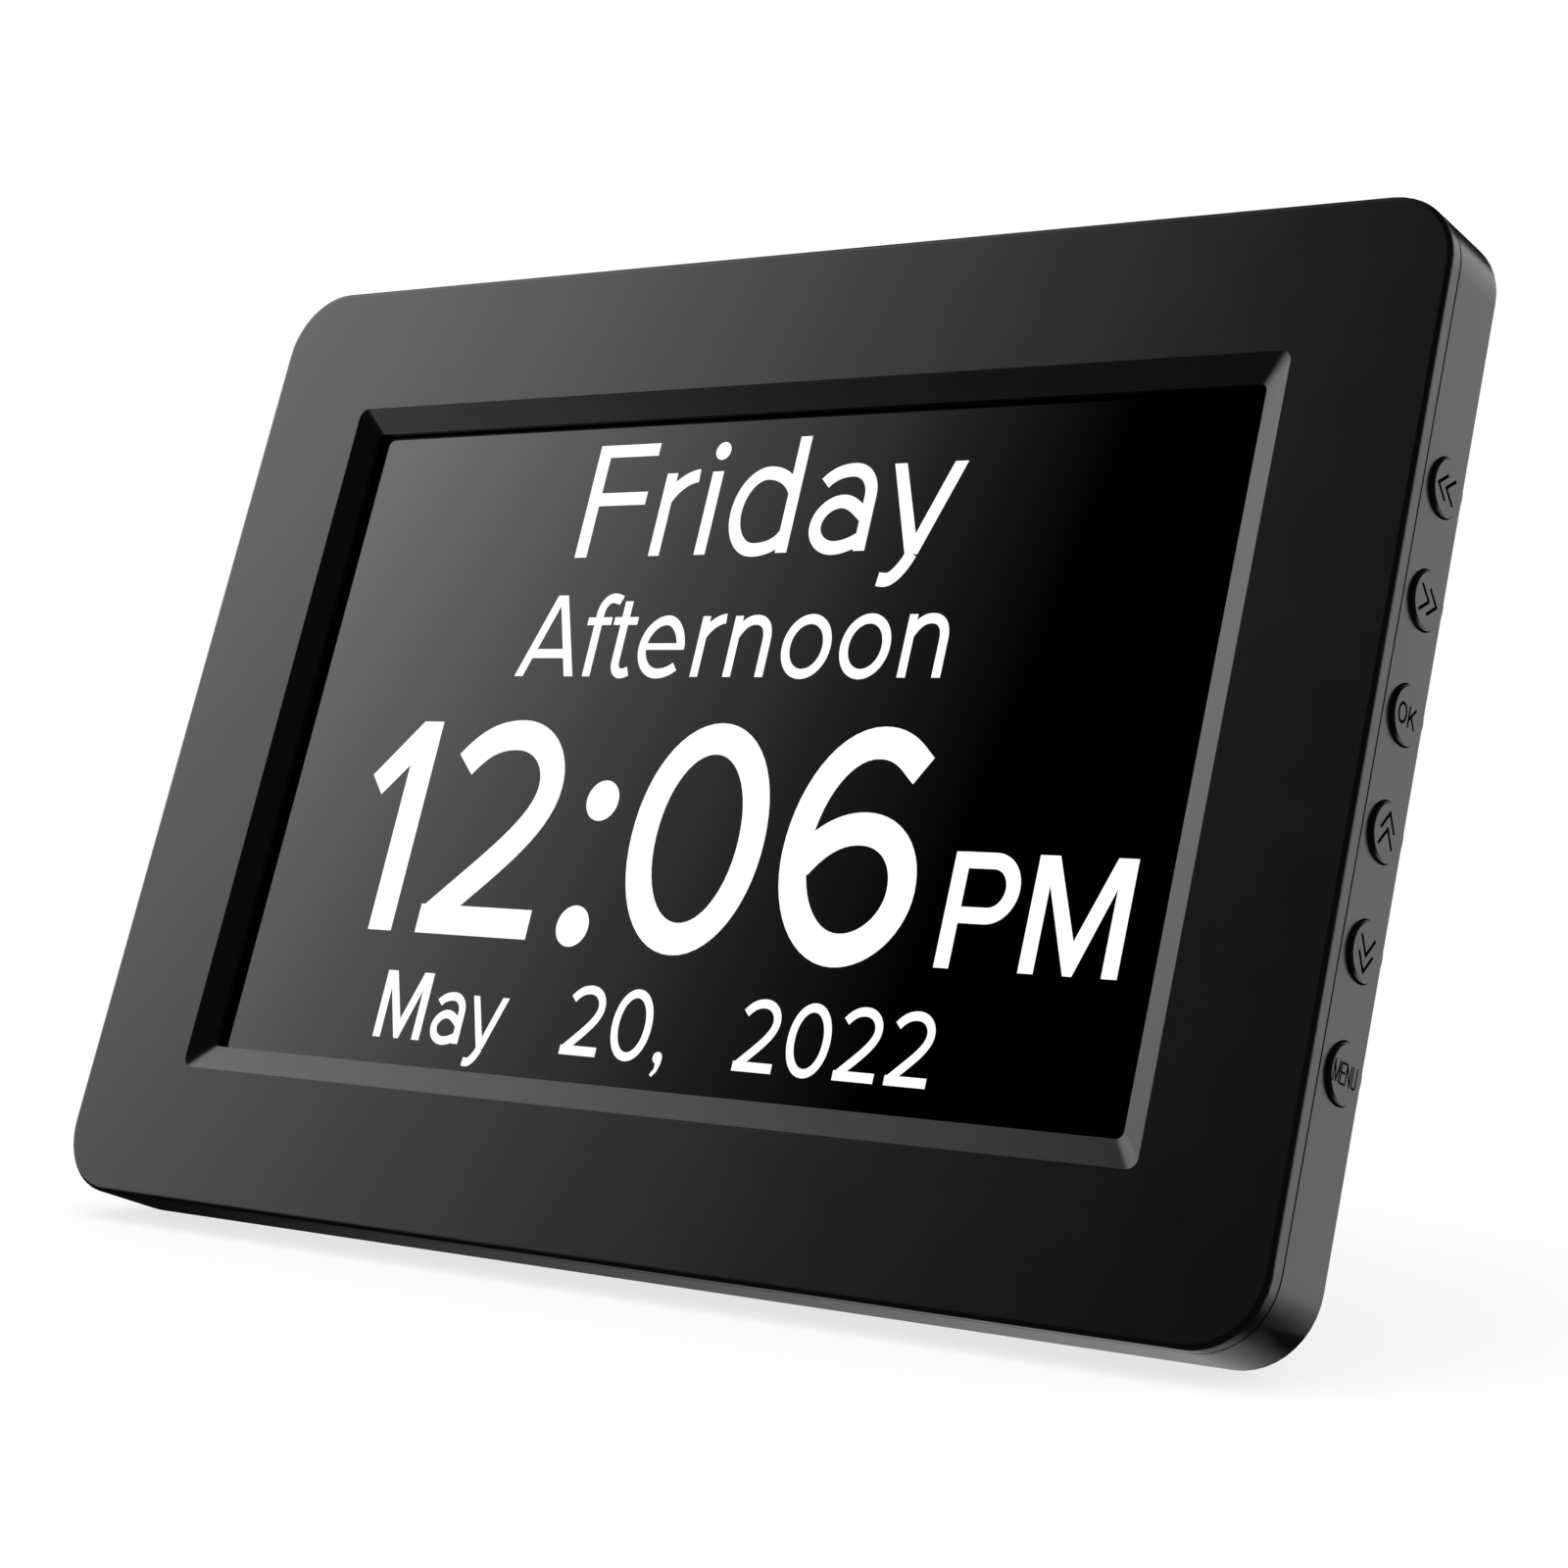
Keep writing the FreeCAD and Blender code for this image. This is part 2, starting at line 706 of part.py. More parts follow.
def make_holder():
    """Square cup that carries the coin cell, open to the back with a notch to lift it out."""
    half = cell_radius + fit_gap + holder_wall
    outer = on_board_back(cell_x - half, cell_x + half, cell_z - half, cell_z + half,
                          holder_floor + cell_thickness)
    well = depth_rod(cell_radius + fit_gap, cell_x, cell_z, board_back + holder_floor,
                     board_back + holder_floor + cell_thickness)
    notch = block(cell_x - cell_radius / 2, cell_x + cell_radius / 2,
                  board_back + holder_floor, board_back + holder_floor + cell_thickness,
                  cell_z - 2 * cell_radius, cell_z)
    return outer.cut([well, notch])


keep("cell_holder", make_holder())
keep("coin_cell",
     depth_rod(cell_radius, cell_x, cell_z, board_back + holder_floor,
               board_back + holder_floor + cell_thickness))

# ---------------------------------------------------------------- sockets and ribbons

socket_bottom = board_bottom + 0.5
keep("display_socket",
     on_board_front(-socket_width / 2, socket_width / 2, socket_bottom,
                    socket_bottom + socket_length, socket_height))


def make_display_ribbon():
    """Flat ribbon from the glass, round under the tray and up into the main board's socket."""
    start_y = (glass_front + glass_back) / 2
    end_y = ribbon_plane
    glass_edge = panel_bottom
    turn_z = glass_edge - ribbon_drop
    radius = (end_y - start_y) / 2
    half = ribbon_thickness / 2
    loops = []
    for offset in (-half, half):
        a = Vector(0, start_y - offset, glass_edge)
        b = Vector(0, start_y - offset, turn_z)
        low = Vector(0, start_y + radius, turn_z - radius - offset)
        c = Vector(0, end_y + offset, turn_z)
        d = Vector(0, end_y + offset, socket_bottom)
        loops.append([Part.makeLine(a, b), Part.Arc(b, low, c).toShape(), Part.makeLine(c, d)])
    ends = [Part.makeLine(loops[0][0].Vertexes[0].Point, loops[1][0].Vertexes[0].Point),
            Part.makeLine(loops[0][2].Vertexes[-1].Point, loops[1][2].Vertexes[-1].Point)]
    outline = Part.Wire(Part.__sortEdges__(loops[0] + loops[1] + ends))
    strip = Part.Face(outline).extrude(x_axis * ribbon_width)
    strip.translate(x_axis * (-ribbon_width / 2))
    return strip


keep("display_ribbon", make_display_ribbon())
keep("key_socket",
     on_board_front(board_right - socket_length, board_right,
                    key_socket_z - key_ribbon_width / 2 - 1,
                    key_socket_z + key_ribbon_width / 2 + 1, socket_height))


def make_key_ribbon():
    """Slightly arched flat ribbon from the main board's edge to the key board."""
    half = ribbon_thickness / 2
    middle = (board_right + key_board_inner) / 2
    edges = []
    for offset in (-half, half):
        edges.append(Part.Arc(Vector(board_right, ribbon_plane + offset, 0),
                              Vector(middle, ribbon_plane - key_ribbon_bow + offset, 0),
                              Vector(key_board_inner, ribbon_plane + offset, 0)).toShape())
    for x in (board_right, key_board_inner):
        edges.append(Part.makeLine(Vector(x, ribbon_plane - half, 0),
                                   Vector(x, ribbon_plane + half, 0)))
    outline = Part.Wire(Part.__sortEdges__(edges))
    strip = Part.Face(outline).extrude(z_axis * key_ribbon_width)
    strip.translate(z_axis * (key_socket_z - key_ribbon_width / 2))
    return strip


keep("key_ribbon", make_key_ribbon())

# ---------------------------------------------------------------- power inlet

jack_mouth = hump_bottom + rear_wall / 2


def make_jack():
    """Board-mounted barrel socket whose nose fills the hole in the housing's lower wall."""
    top = board_back + jack_height
    front_end = board_bottom - jack_overhang
    back_end = front_end + jack_length
    body = block(jack_x - jack_width / 2, jack_x + jack_width / 2, board_back, top,
                 front_end, back_end)
    nose = rod(jack_nose_radius, Vector(jack_x, jack_axis, jack_mouth),
               Vector(jack_x, jack_axis, front_end))
    bore = rod(jack_bore_radius, Vector(jack_x, jack_axis, jack_mouth),
               Vector(jack_x, jack_axis, jack_mouth + jack_bore_depth))
    return join(body, nose).cut(bore)


keep("power_jack", make_jack())
keep("jack_pin",
     rod(jack_pin_radius, Vector(jack_x, jack_axis, jack_mouth + jack_pin_setback),
         Vector(jack_x, jack_axis, jack_mouth + jack_bore_depth)))

# ---------------------------------------------------------------- sounder


def speaker_rod(radius, y0, y1):
    return depth_rod(radius, speaker_x, speaker_z, y0, y1)


speaker_rim_y = hump_inner - speaker_rim
speaker_floor = speaker_rim_y - speaker_cup
cone_base = speaker_floor + speaker_sheet
cone_radius = speaker_radius - speaker_rim - speaker_sheet


def make_speaker_frame():
    """Rim and cup."""
    rim = speaker_rod(speaker_radius, speaker_rim_y, hump_inner)
    cup = speaker_rod(speaker_radius - speaker_rim, speaker_floor, speaker_rim_y)
    return join(rim, cup).cut(speaker_rod(cone_radius, cone_base, hump_inner))


def make_speaker_cone():
    """Dished diaphragm glued into the cup."""
    solid = speaker_rod(cone_radius, cone_base, speaker_rim_y)
    dish_y = cone_base + speaker_sheet
    dish = Part.makeCone(cone_throat_radius, cone_radius - speaker_sheet, speaker_rim_y - dish_y,
                         Vector(speaker_x, dish_y, speaker_z), y_axis)
    return solid.cut(dish)


keep("speaker_frame", make_speaker_frame())
keep("speaker_cone", make_speaker_cone())
keep("speaker_magnet",
     speaker_rod(speaker_magnet_radius, speaker_floor - speaker_magnet_height, speaker_floor))

# ---------------------------------------------------------------- folding stand
# Drawn folded flat in its pocket, then swung open about the hinge.


def swing(shape, angle):
    """Turn about the stand's hinge; positive opens it."""
    turned = shape.copy()
    turned.rotate(hinge, x_axis, angle)
    return turned


def leg_prism(points, width):
    """Side profile given as (out, down) from the hinge, spread over a width."""
    vectors = [Vector(-width / 2, hinge_y + out, stand_hinge_height - down)
               for out, down in points]
    wire = Part.makePolygon(vectors + [vectors[0]])
    return Part.Face(wire).extrude(x_axis * width)


def sole(out):
    """Distance down the leg of the table plane, at a given distance out from the hinge."""
    return stand_length + out * math.tan(foot_tilt)


leg_out = stand_outer - hinge_y
leg_in = leg_out - stand_depth
pad_rise = pad_thickness / math.cos(foot_tilt)


def leg_plan():
    """Plan of the leg: tapering to the foot, with round corners there."""
    top = stand_hinge_height + barrel_radius
    end = stand_hinge_height - sole(leg_out)
    points = [Vector(-stand_width / 2, 0, top), Vector(stand_width / 2, 0, top),
              Vector(stand_foot_width / 2, 0, end), Vector(-stand_foot_width / 2, 0, end)]
    plan = Part.Face(Part.makePolygon(points + [points[0]])).extrude(y_axis * hump_back)
    foot_corners = [e for e in plan.Edges
                    if e.BoundBox.YLength > hump_back / 2 and e.BoundBox.ZMax < end + pad_rise]
    return plan.makeFillet(stand_corner_radius, foot_corners)


def make_leg():
    body = leg_prism([(leg_in, 0), (leg_out, 0), (leg_out, sole(leg_out) - pad_rise),
                      (leg_in, sole(leg_in) - pad_rise)], stand_width).common(leg_plan())
    bay_pitch = (stand_foot_width - stand_rib) / stand_bays
    bays = []
    for i in range(stand_bays):
        x0 = -stand_foot_width / 2 + stand_rib + i * bay_pitch
        bays.append(block(x0, x0 + bay_pitch - stand_rib,
                          hinge_y + leg_in, hinge_y + leg_out - stand_plate,
                          stand_hinge_height - sole(leg_in) + bay_foot,
                          stand_hinge_height - bay_head))
    body = body.cut(bays)
    half = stand_width / 2
    left = hinge - x_axis * half
    right = hinge + x_axis * half
    barrel = rod(barrel_radius, left, right)
    heel = block(-half, half, pocket_floor + stop_gap, hinge_y,
                 stand_hinge_height, stand_hinge_height + heel_length)
    heel = swing(heel, -stand_open_angle)
    return join(body, barrel, heel).cut(rod(pin_radius, left, right))


pad_half = stand_foot_width / 2 - stand_corner_radius
pad_profile = [(leg_in + pad_inset, sole(leg_in + pad_inset) - pad_rise),
               (leg_out - pad_inset, sole(leg_out - pad_inset) - pad_rise),
               (leg_out - pad_inset, sole(leg_out - pad_inset)),
               (leg_in + pad_inset, sole(leg_in + pad_inset))]
pin_half = pocket_outside - fit_gap

keep("stand_leg", swing(make_leg(), stand_open_angle))
keep("stand_pad", swing(leg_prism(pad_profile, 2 * pad_half), stand_open_angle))
keep("stand_pin", rod(pin_radius, hinge - x_axis * pin_half, hinge + x_axis * pin_half))

# ---------------------------------------------------------------- on the table
# The frame leans back about x; the origin is the middle of the footprint, on the table.

leaned = Placement(Vector(0, 0, -table_level), Rotation(x_axis, -lean_angle))
for shape in pieces.values():
    shape.Placement = leaned.multiply(shape.Placement)
reach = Part.makeCompound(list(pieces.values())).optimalBoundingBox(False)
to_middle = y_axis * (-(reach.YMin + reach.YMax) / 2)
for name, shape in pieces.items():
    shape.translate(to_middle)
    shape.exportStep("parts/" + name + ".step")
    print(name, len(shape.Solids), round(shape.Volume, 2), shape.isValid())
print("size", [round(v, 2) for v in (reach.XLength, reach.YLength, reach.ZLength)],
      "lowest", round(reach.ZMin, 3))
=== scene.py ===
import json
import math

import bmesh
import bpy
from mathutils import Matrix, Quaternion, Vector


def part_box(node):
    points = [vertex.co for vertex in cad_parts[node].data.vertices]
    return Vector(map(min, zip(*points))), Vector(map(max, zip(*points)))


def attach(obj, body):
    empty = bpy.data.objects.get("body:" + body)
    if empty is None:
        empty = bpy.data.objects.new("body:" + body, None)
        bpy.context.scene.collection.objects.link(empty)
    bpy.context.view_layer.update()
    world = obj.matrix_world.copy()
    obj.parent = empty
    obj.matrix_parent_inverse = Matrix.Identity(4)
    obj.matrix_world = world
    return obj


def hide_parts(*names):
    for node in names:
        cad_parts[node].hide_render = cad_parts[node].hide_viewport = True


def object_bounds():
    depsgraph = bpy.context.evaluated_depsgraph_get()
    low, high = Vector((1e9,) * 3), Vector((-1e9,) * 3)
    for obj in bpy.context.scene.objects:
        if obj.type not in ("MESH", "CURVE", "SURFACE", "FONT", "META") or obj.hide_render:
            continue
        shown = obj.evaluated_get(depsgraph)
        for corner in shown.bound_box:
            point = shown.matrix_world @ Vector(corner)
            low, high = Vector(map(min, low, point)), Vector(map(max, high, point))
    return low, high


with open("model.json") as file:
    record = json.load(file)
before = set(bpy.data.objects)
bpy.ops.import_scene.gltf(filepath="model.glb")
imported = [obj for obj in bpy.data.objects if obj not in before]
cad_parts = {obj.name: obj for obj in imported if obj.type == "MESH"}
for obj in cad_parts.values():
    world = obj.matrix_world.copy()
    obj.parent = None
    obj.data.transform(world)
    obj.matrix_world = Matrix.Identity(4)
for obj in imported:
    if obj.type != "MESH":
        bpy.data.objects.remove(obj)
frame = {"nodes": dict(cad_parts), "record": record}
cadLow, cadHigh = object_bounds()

mm = 0.001
white = (1, 1, 1, 1)

# The clock's own axes: x to the viewer's right, y from the face to the back, z up the face.
clock = {"lean": 20, "glassDepth": 2.8, "glassMiddle": (0, 3.35, -0.4)}
faceTurn = Matrix.Rotation(math.radians(-clock["lean"]), 4, "X")
glassLow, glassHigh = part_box("display_glass")
glassCentre = (glassLow + glassHigh) / 2
faceOrigin = glassCentre - faceTurn @ Vector(clock["glassMiddle"]) * mm
faceToWorld = Matrix.Translation(faceOrigin) @ faceTurn

print("frame loaded:", len(frame["nodes"]), "nodes")


class Signal:  # one output socket; sums on it add Math nodes
    def __init__(self, maker, socket):
        self.maker, self.socket = maker, socket

    def __add__(self, other):
        return self.maker.maths("ADD", self, other)

    def __radd__(self, other):
        return self.maker.maths("ADD", other, self)

    def __sub__(self, other):
        return self.maker.maths("SUBTRACT", self, other)

    def __rsub__(self, other):
        return self.maker.maths("SUBTRACT", other, self)

    def __mul__(self, other):
        return self.maker.maths("MULTIPLY", self, other)

    def __rmul__(self, other):
        return self.maker.maths("MULTIPLY", other, self)

    def __truediv__(self, other):
        return self.maker.maths("DIVIDE", self, other)

    def __gt__(self, other):
        return self.maker.maths("GREATER_THAN", self, other)

    def __lt__(self, other):
        return self.maker.maths("LESS_THAN", self, other)


class NodeMaker:  # fills one node tree
    def __init__(self, tree):
        self.tree = tree
        tree.nodes.clear()

    def node(self, kind, settings=None, values=None, out=0):
        made = self.tree.nodes.new(kind)
        for name, value in (settings or {}).items():
            if name == "stops":
                self.setStops(made.color_ramp, value)
            else:
                setattr(made, name, value)
        for name, value in (values or {}).items():
            if isinstance(value, Signal):
                self.tree.links.new(value.socket, made.inputs[name])
            else:
                made.inputs[name].default_value = value
        return Signal(self, made.outputs[out]) if len(made.outputs) else made

    def setStops(self, ramp, stops):
        while len(ramp.elements) < len(stops):
            ramp.elements.new(1)
        for element, (position, colour) in zip(ramp.elements, stops):
            element.position = position
            element.color = (*colour, 1)

    def maths(self, operation, *values):
        return self.node("ShaderNodeMath", {"operation": operation}, dict(enumerate(values)))

    def ramp(self, value, stops):
        return self.node("ShaderNodeValToRGB", {"stops": stops}, {"Fac": value})

    def mixColours(self, factor, a, b):
        return self.node("ShaderNodeMix", {"data_type": "RGBA"}, {0: factor, 6: a, 7: b}, out=2)

    def spread(self, value, low, high, newLow=0.0, newHigh=1.0, how="LINEAR"):
        settings = {"interpolation_type": how}
        values = {"Value": value, "From Min": low, "From Max": high, "To Min": newLow, "To Max": newHigh}
        return self.node("ShaderNodeMapRange", settings, values)

    def vector(self, operation, *values, out=0):
        return self.node("ShaderNodeVectorMath", {"operation": operation}, dict(enumerate(values)), out=out)

    def parts(self, vector):
        return [self.node("ShaderNodeSeparateXYZ", None, {0: vector}, out=i) for i in range(3)]


class Finish(NodeMaker):  # one material
    def __init__(self, name):
        self.material = bpy.data.materials.new(name)
        self.material.use_nodes = True
        super().__init__(self.material.node_tree)
        self.here = self.node("ShaderNodeTexCoord", out=3)
        self.onFace = self.node("ShaderNodeMapping", None, {
            "Vector": self.here, "Rotation": (math.radians(clock["lean"]), 0, 0)})

    def noise(self, size, detail=2.0, rough=0.5, stretch=(1, 1, 1)):  # size in millimetres
        stretched = self.node("ShaderNodeMapping", None, {"Vector": self.onFace, "Scale": stretch})
        return self.node("ShaderNodeTexNoise", None, {
            "Vector": stretched, "Scale": 1 / (size * mm), "Detail": detail, "Roughness": rough})

    def cells(self, size, out=0):
        values = {"Vector": self.onFace, "Scale": 1 / (size * mm)}
        return self.node("ShaderNodeTexVoronoi", None, values, out=out)

    def bump(self, height, depth, under=None):
        values = {"Height": height, "Distance": depth * mm, "Strength": 1.0}
        if under:
            values["Normal"] = under
        return self.node("ShaderNodeBump", None, values)

    def surface(self, **values):
        named = {name.replace("_", " "): value for name, value in values.items()}
        shader = self.node("ShaderNodeBsdfPrincipled", None, named)
        self.node("ShaderNodeOutputMaterial", None, {"Surface": shader})
        return self.material


# The moulded black of the case and keys; the spark is its fine grain, in millimetres.
black = {"colour": (0.0014, 0.0014, 0.0014), "worn": (0.0024, 0.0024, 0.0025), "roughness": 0.23,
         "shine": 0.42, "spark": 0.22, "sparkDepth": 0.0016, "fineShare": 0.35}


def mouldedBlack(name, spark=1.0, roughness=0.0, tint=1.0):
    paint = Finish(name)
    grain = paint.noise(black["spark"] * spark, detail=2, rough=0.6)
    fine = paint.noise(black["spark"] * spark / 3, detail=1)
    flow = paint.noise(38, detail=3, stretch=(1, 1, 0.6))
    touch = paint.noise(9, detail=4, rough=0.62)
    base, worn = ([channel * tint for channel in black[kind]] + [1] for kind in ("colour", "worn"))
    coarse = paint.bump(grain, black["sparkDepth"])
    return paint.surface(
        Base_Color=paint.mixColours(paint.spread(flow * 0.5 + grain * 0.5, 0.35, 0.65), base, worn),
        Roughness=black["roughness"] + roughness + (touch - 0.5) * 0.05 + (grain - 0.5) * 0.04,
        Specular_IOR_Level=black["shine"],
        Normal=paint.bump(fine, black["sparkDepth"] * black["fineShare"], coarse))


pixel = {"pitch": 0.21, "darkGap": 0.12, "litGap": 0.1}  # millimetres, then shares of the pitch


def pixelLines(paint, gap):
    across, _, upward = paint.parts(paint.onFace)
    rows = paint.maths("FRACT", upward / (pixel["pitch"] * mm)) < gap
    columns = paint.maths("FRACT", across / (pixel["pitch"] * mm)) < gap
    return paint.maths("MAXIMUM", rows, columns)


def displayGlass(name):
    paint = Finish(name)
    haze = paint.noise(0.12, detail=1)
    smear = paint.noise(24, detail=4, rough=0.6)
    lines = pixelLines(paint, pixel["darkGap"])
    return paint.surface(
        Base_Color=paint.mixColours(lines, (0.0001, 0.0001, 0.0001, 1), (0.0003, 0.0003, 0.0003, 1)),
        Roughness=0.05 + (smear - 0.5) * 0.02, Normal=paint.bump(haze, 0.0001))


def litPixels(name):
    paint = Finish(name)
    lines = pixelLines(paint, pixel["litGap"])
    return paint.surface(
        Base_Color=(0.02, 0.02, 0.02, 1), Roughness=0.4, Emission_Strength=1.0,
        Emission_Color=paint.mixColours(lines, (1, 1, 1, 1), (0.96, 0.965, 0.98, 1)))


# Near-black with no shine: painted shade standing in for the shadow inside the keys' engraved legends.
def paintedRecessShade(name):
    paint = Finish(name)
    grain = paint.noise(0.08, detail=2)
    return paint.surface(
        Base_Color=paint.mixColours(grain, (0.0002, 0.0002, 0.0002, 1), (0.0005, 0.0005, 0.0005, 1)),
        Roughness=0.85, Specular_IOR_Level=0.0, Normal=paint.bump(grain, 0.003))


def foamTape(name):
    paint = Finish(name)
    bubbles = paint.cells(0.35)
    return paint.surface(
        Base_Color=paint.ramp(bubbles, [(0.0, (0.006, 0.006, 0.006)), (0.6, (0.022, 0.022, 0.022))]),
        Roughness=0.92, Normal=paint.bump(bubbles, 0.06))


def sheetMetal(name, colour, darker, roughness, grain=(1, 1, 0.04)):
    paint = Finish(name)
    brushed = paint.noise(0.5, detail=4, rough=0.7, stretch=grain)
    flakes = paint.cells(3.5, out=1)
    cloud = paint.noise(14, detail=3)
    return paint.surface(
        Base_Color=paint.mixColours(paint.spread(brushed * 0.6 + cloud * 0.4, 0.3, 0.7), darker, colour),
        Metallic=1.0, Roughness=roughness + (brushed - 0.5) * 0.16 + (paint.parts(flakes)[0] - 0.5) * 0.05,
        Normal=paint.bump(brushed, 0.0015))


def clearAcrylic(name):
    paint = Finish(name)
    dots = paint.cells(1.1) < 0.28
    mist = paint.noise(6, detail=3)
    return paint.surface(
        Base_Color=paint.mixColours(dots, (0.86, 0.88, 0.89, 1), (0.95, 0.95, 0.95, 1)),
        Roughness=0.08 + dots * 0.5 + mist * 0.04, Transmission_Weight=0.6, IOR=1.49)


def circuitBoard(name):
    paint = Finish(name)
    across, _, upward = paint.parts(paint.onFace)
    weave = paint.noise(0.9, detail=2, stretch=(1, 1, 3))
    wander = paint.noise(11, detail=0)
    run = paint.maths("FRACT", across / (2.54 * mm) + wander * 4)
    cross = paint.maths("FRACT", upward / (3.2 * mm) + wander * 3)
    traces = paint.maths("MAXIMUM", run < 0.22, (cross < 0.16) * (wander > 0.5))
    pads = paint.cells(4.2) < 0.12
    board = paint.mixColours(traces, (0.006, 0.055, 0.022, 1), (0.012, 0.12, 0.045, 1))
    return paint.surface(
        Base_Color=paint.mixColours(pads, board, (0.62, 0.6, 0.55, 1)), Metallic=pads * 0.9,
        Roughness=0.34 + (weave - 0.5) * 0.1, Normal=paint.bump(weave * 0.3 + traces, 0.012))


def fineNylon(name, colour, darker, roughness, grainSize=0.3):
    paint = Finish(name)
    grain = paint.noise(grainSize, detail=3)
    flow = paint.noise(7, detail=2)
    return paint.surface(
        Base_Color=paint.mixColours(paint.spread(flow * 0.6 + grain * 0.4, 0.3, 0.7), darker, colour),
        Roughness=roughness + (grain - 0.5) * 0.12, Normal=paint.bump(grain, 0.003))


def flatRibbon(name):
    paint = Finish(name)
    across, _, upward = paint.parts(paint.onFace)
    film = paint.noise(4, detail=3)
    tracks = paint.maths("FRACT", (across + upward) / (1.0 * mm)) < 0.5
    return paint.surface(
        Base_Color=paint.mixColours(tracks, (0.36, 0.17, 0.035, 1), (0.55, 0.27, 0.1, 1)),
        Metallic=tracks * 0.5, Roughness=0.24 + (film - 0.5) * 0.08, Normal=paint.bump(tracks, 0.01))


def pulpPaper(name):
    paint = Finish(name)
    fibres = paint.noise(0.5, detail=5, rough=0.75, stretch=(1, 1, 0.3))
    return paint.surface(
        Base_Color=paint.mixColours(fibres, (0.014, 0.014, 0.015, 1), (0.05, 0.048, 0.046, 1)),
        Roughness=0.9, Normal=paint.bump(fibres, 0.03))


def softRubber(name):
    paint = Finish(name)
    grain = paint.noise(0.18, detail=3)
    dust = paint.spread(paint.noise(2.4, detail=5, rough=0.7), 0.55, 0.75)
    return paint.surface(
        Base_Color=paint.mixColours(dust, (0.011, 0.011, 0.012, 1), (0.022, 0.021, 0.02, 1)),
        Roughness=0.72 + (grain - 0.5) * 0.14, Normal=paint.bump(grain, 0.004))


finishes = {
    "case_black": mouldedBlack("satin_black"),
    "key_black": mouldedBlack("key_black", spark=0.8, roughness=0.02, tint=1.05),
    "display": displayGlass("dark_panel"),
    "foam": foamTape("foam_tape"),
    "sheet_steel": sheetMetal("tinned_sheet", (0.64, 0.64, 0.62, 1), (0.46, 0.46, 0.45, 1), 0.36),
    "screw_steel": sheetMetal("zinc_screw", (0.52, 0.52, 0.53, 1), (0.34, 0.34, 0.35, 1), 0.32, (1, 1, 1)),
    "acrylic": clearAcrylic("light_guide_acrylic"),
    "board_green": circuitBoard("green_board"),
    "switch_plastic": fineNylon("switch_nylon", (0.028, 0.028, 0.03, 1), (0.018, 0.018, 0.019, 1), 0.5),
    "chip_black": fineNylon("chip_epoxy", (0.02, 0.02, 0.021, 1), (0.011, 0.011, 0.012, 1), 0.58, 0.14),
    "can_aluminium": sheetMetal("drawn_can", (0.78, 0.78, 0.79, 1), (0.62, 0.62, 0.63, 1), 0.3),
    "cell_steel": sheetMetal("cell_shell", (0.7, 0.7, 0.69, 1), (0.58, 0.58, 0.57, 1), 0.24, (1, 1, 0.3)),
    "socket_plastic": fineNylon("socket_nylon", (0.72, 0.68, 0.56, 1), (0.6, 0.56, 0.45, 1), 0.46),
    "ribbon": flatRibbon("ribbon_film"),
    "contact_brass": sheetMetal("plated_brass", (0.72, 0.5, 0.22, 1), (0.52, 0.34, 0.14, 1), 0.26),
    "cone_paper": pulpPaper("cone_pulp"),
    "magnet": sheetMetal("ferrite", (0.1, 0.1, 0.105, 1), (0.06, 0.06, 0.065, 1), 0.55, (1, 1, 1)),
    "pad_rubber": softRubber("pad_rubber"),
}
for part in frame["record"]["subparts"]:
    mesh = frame["nodes"][part["node"]].data
    mesh.materials.clear()
    mesh.materials.append(finishes[part["material_slot"]])
print("finishes made:", len(finishes))


def finished(name, mesh, place, finish, body):
    mesh.transform(place)
    mesh.materials.clear()
    mesh.materials.append(finish)
    piece = bpy.data.objects.new(name, mesh)
    bpy.context.scene.collection.objects.link(piece)
    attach(piece, body)
    return piece


def addPlate(shape, points, thick):
    face = shape.faces.new([shape.verts.new((x, y, 0)) for x, y in points])
    lifted = bmesh.ops.extrude_face_region(shape, geom=[face])
    moved = [v for v in lifted["geom"] if isinstance(v, bmesh.types.BMVert)]
    bmesh.ops.translate(shape, verts=moved, vec=(0, 0, thick))


def addDot(shape, x, y, radius, thick, sides=48):
    ring = bmesh.ops.create_circle(shape, cap_ends=True, segments=sides, radius=radius,
                                   matrix=Matrix.Translation((x, y, 0)))
    face = ring["verts"][0].link_faces[0]
    lifted = bmesh.ops.extrude_face_region(shape, geom=[face])
    moved = [v for v in lifted["geom"] if isinstance(v, bmesh.types.BMVert)]
    bmesh.ops.translate(shape, verts=moved, vec=(0, 0, thick))


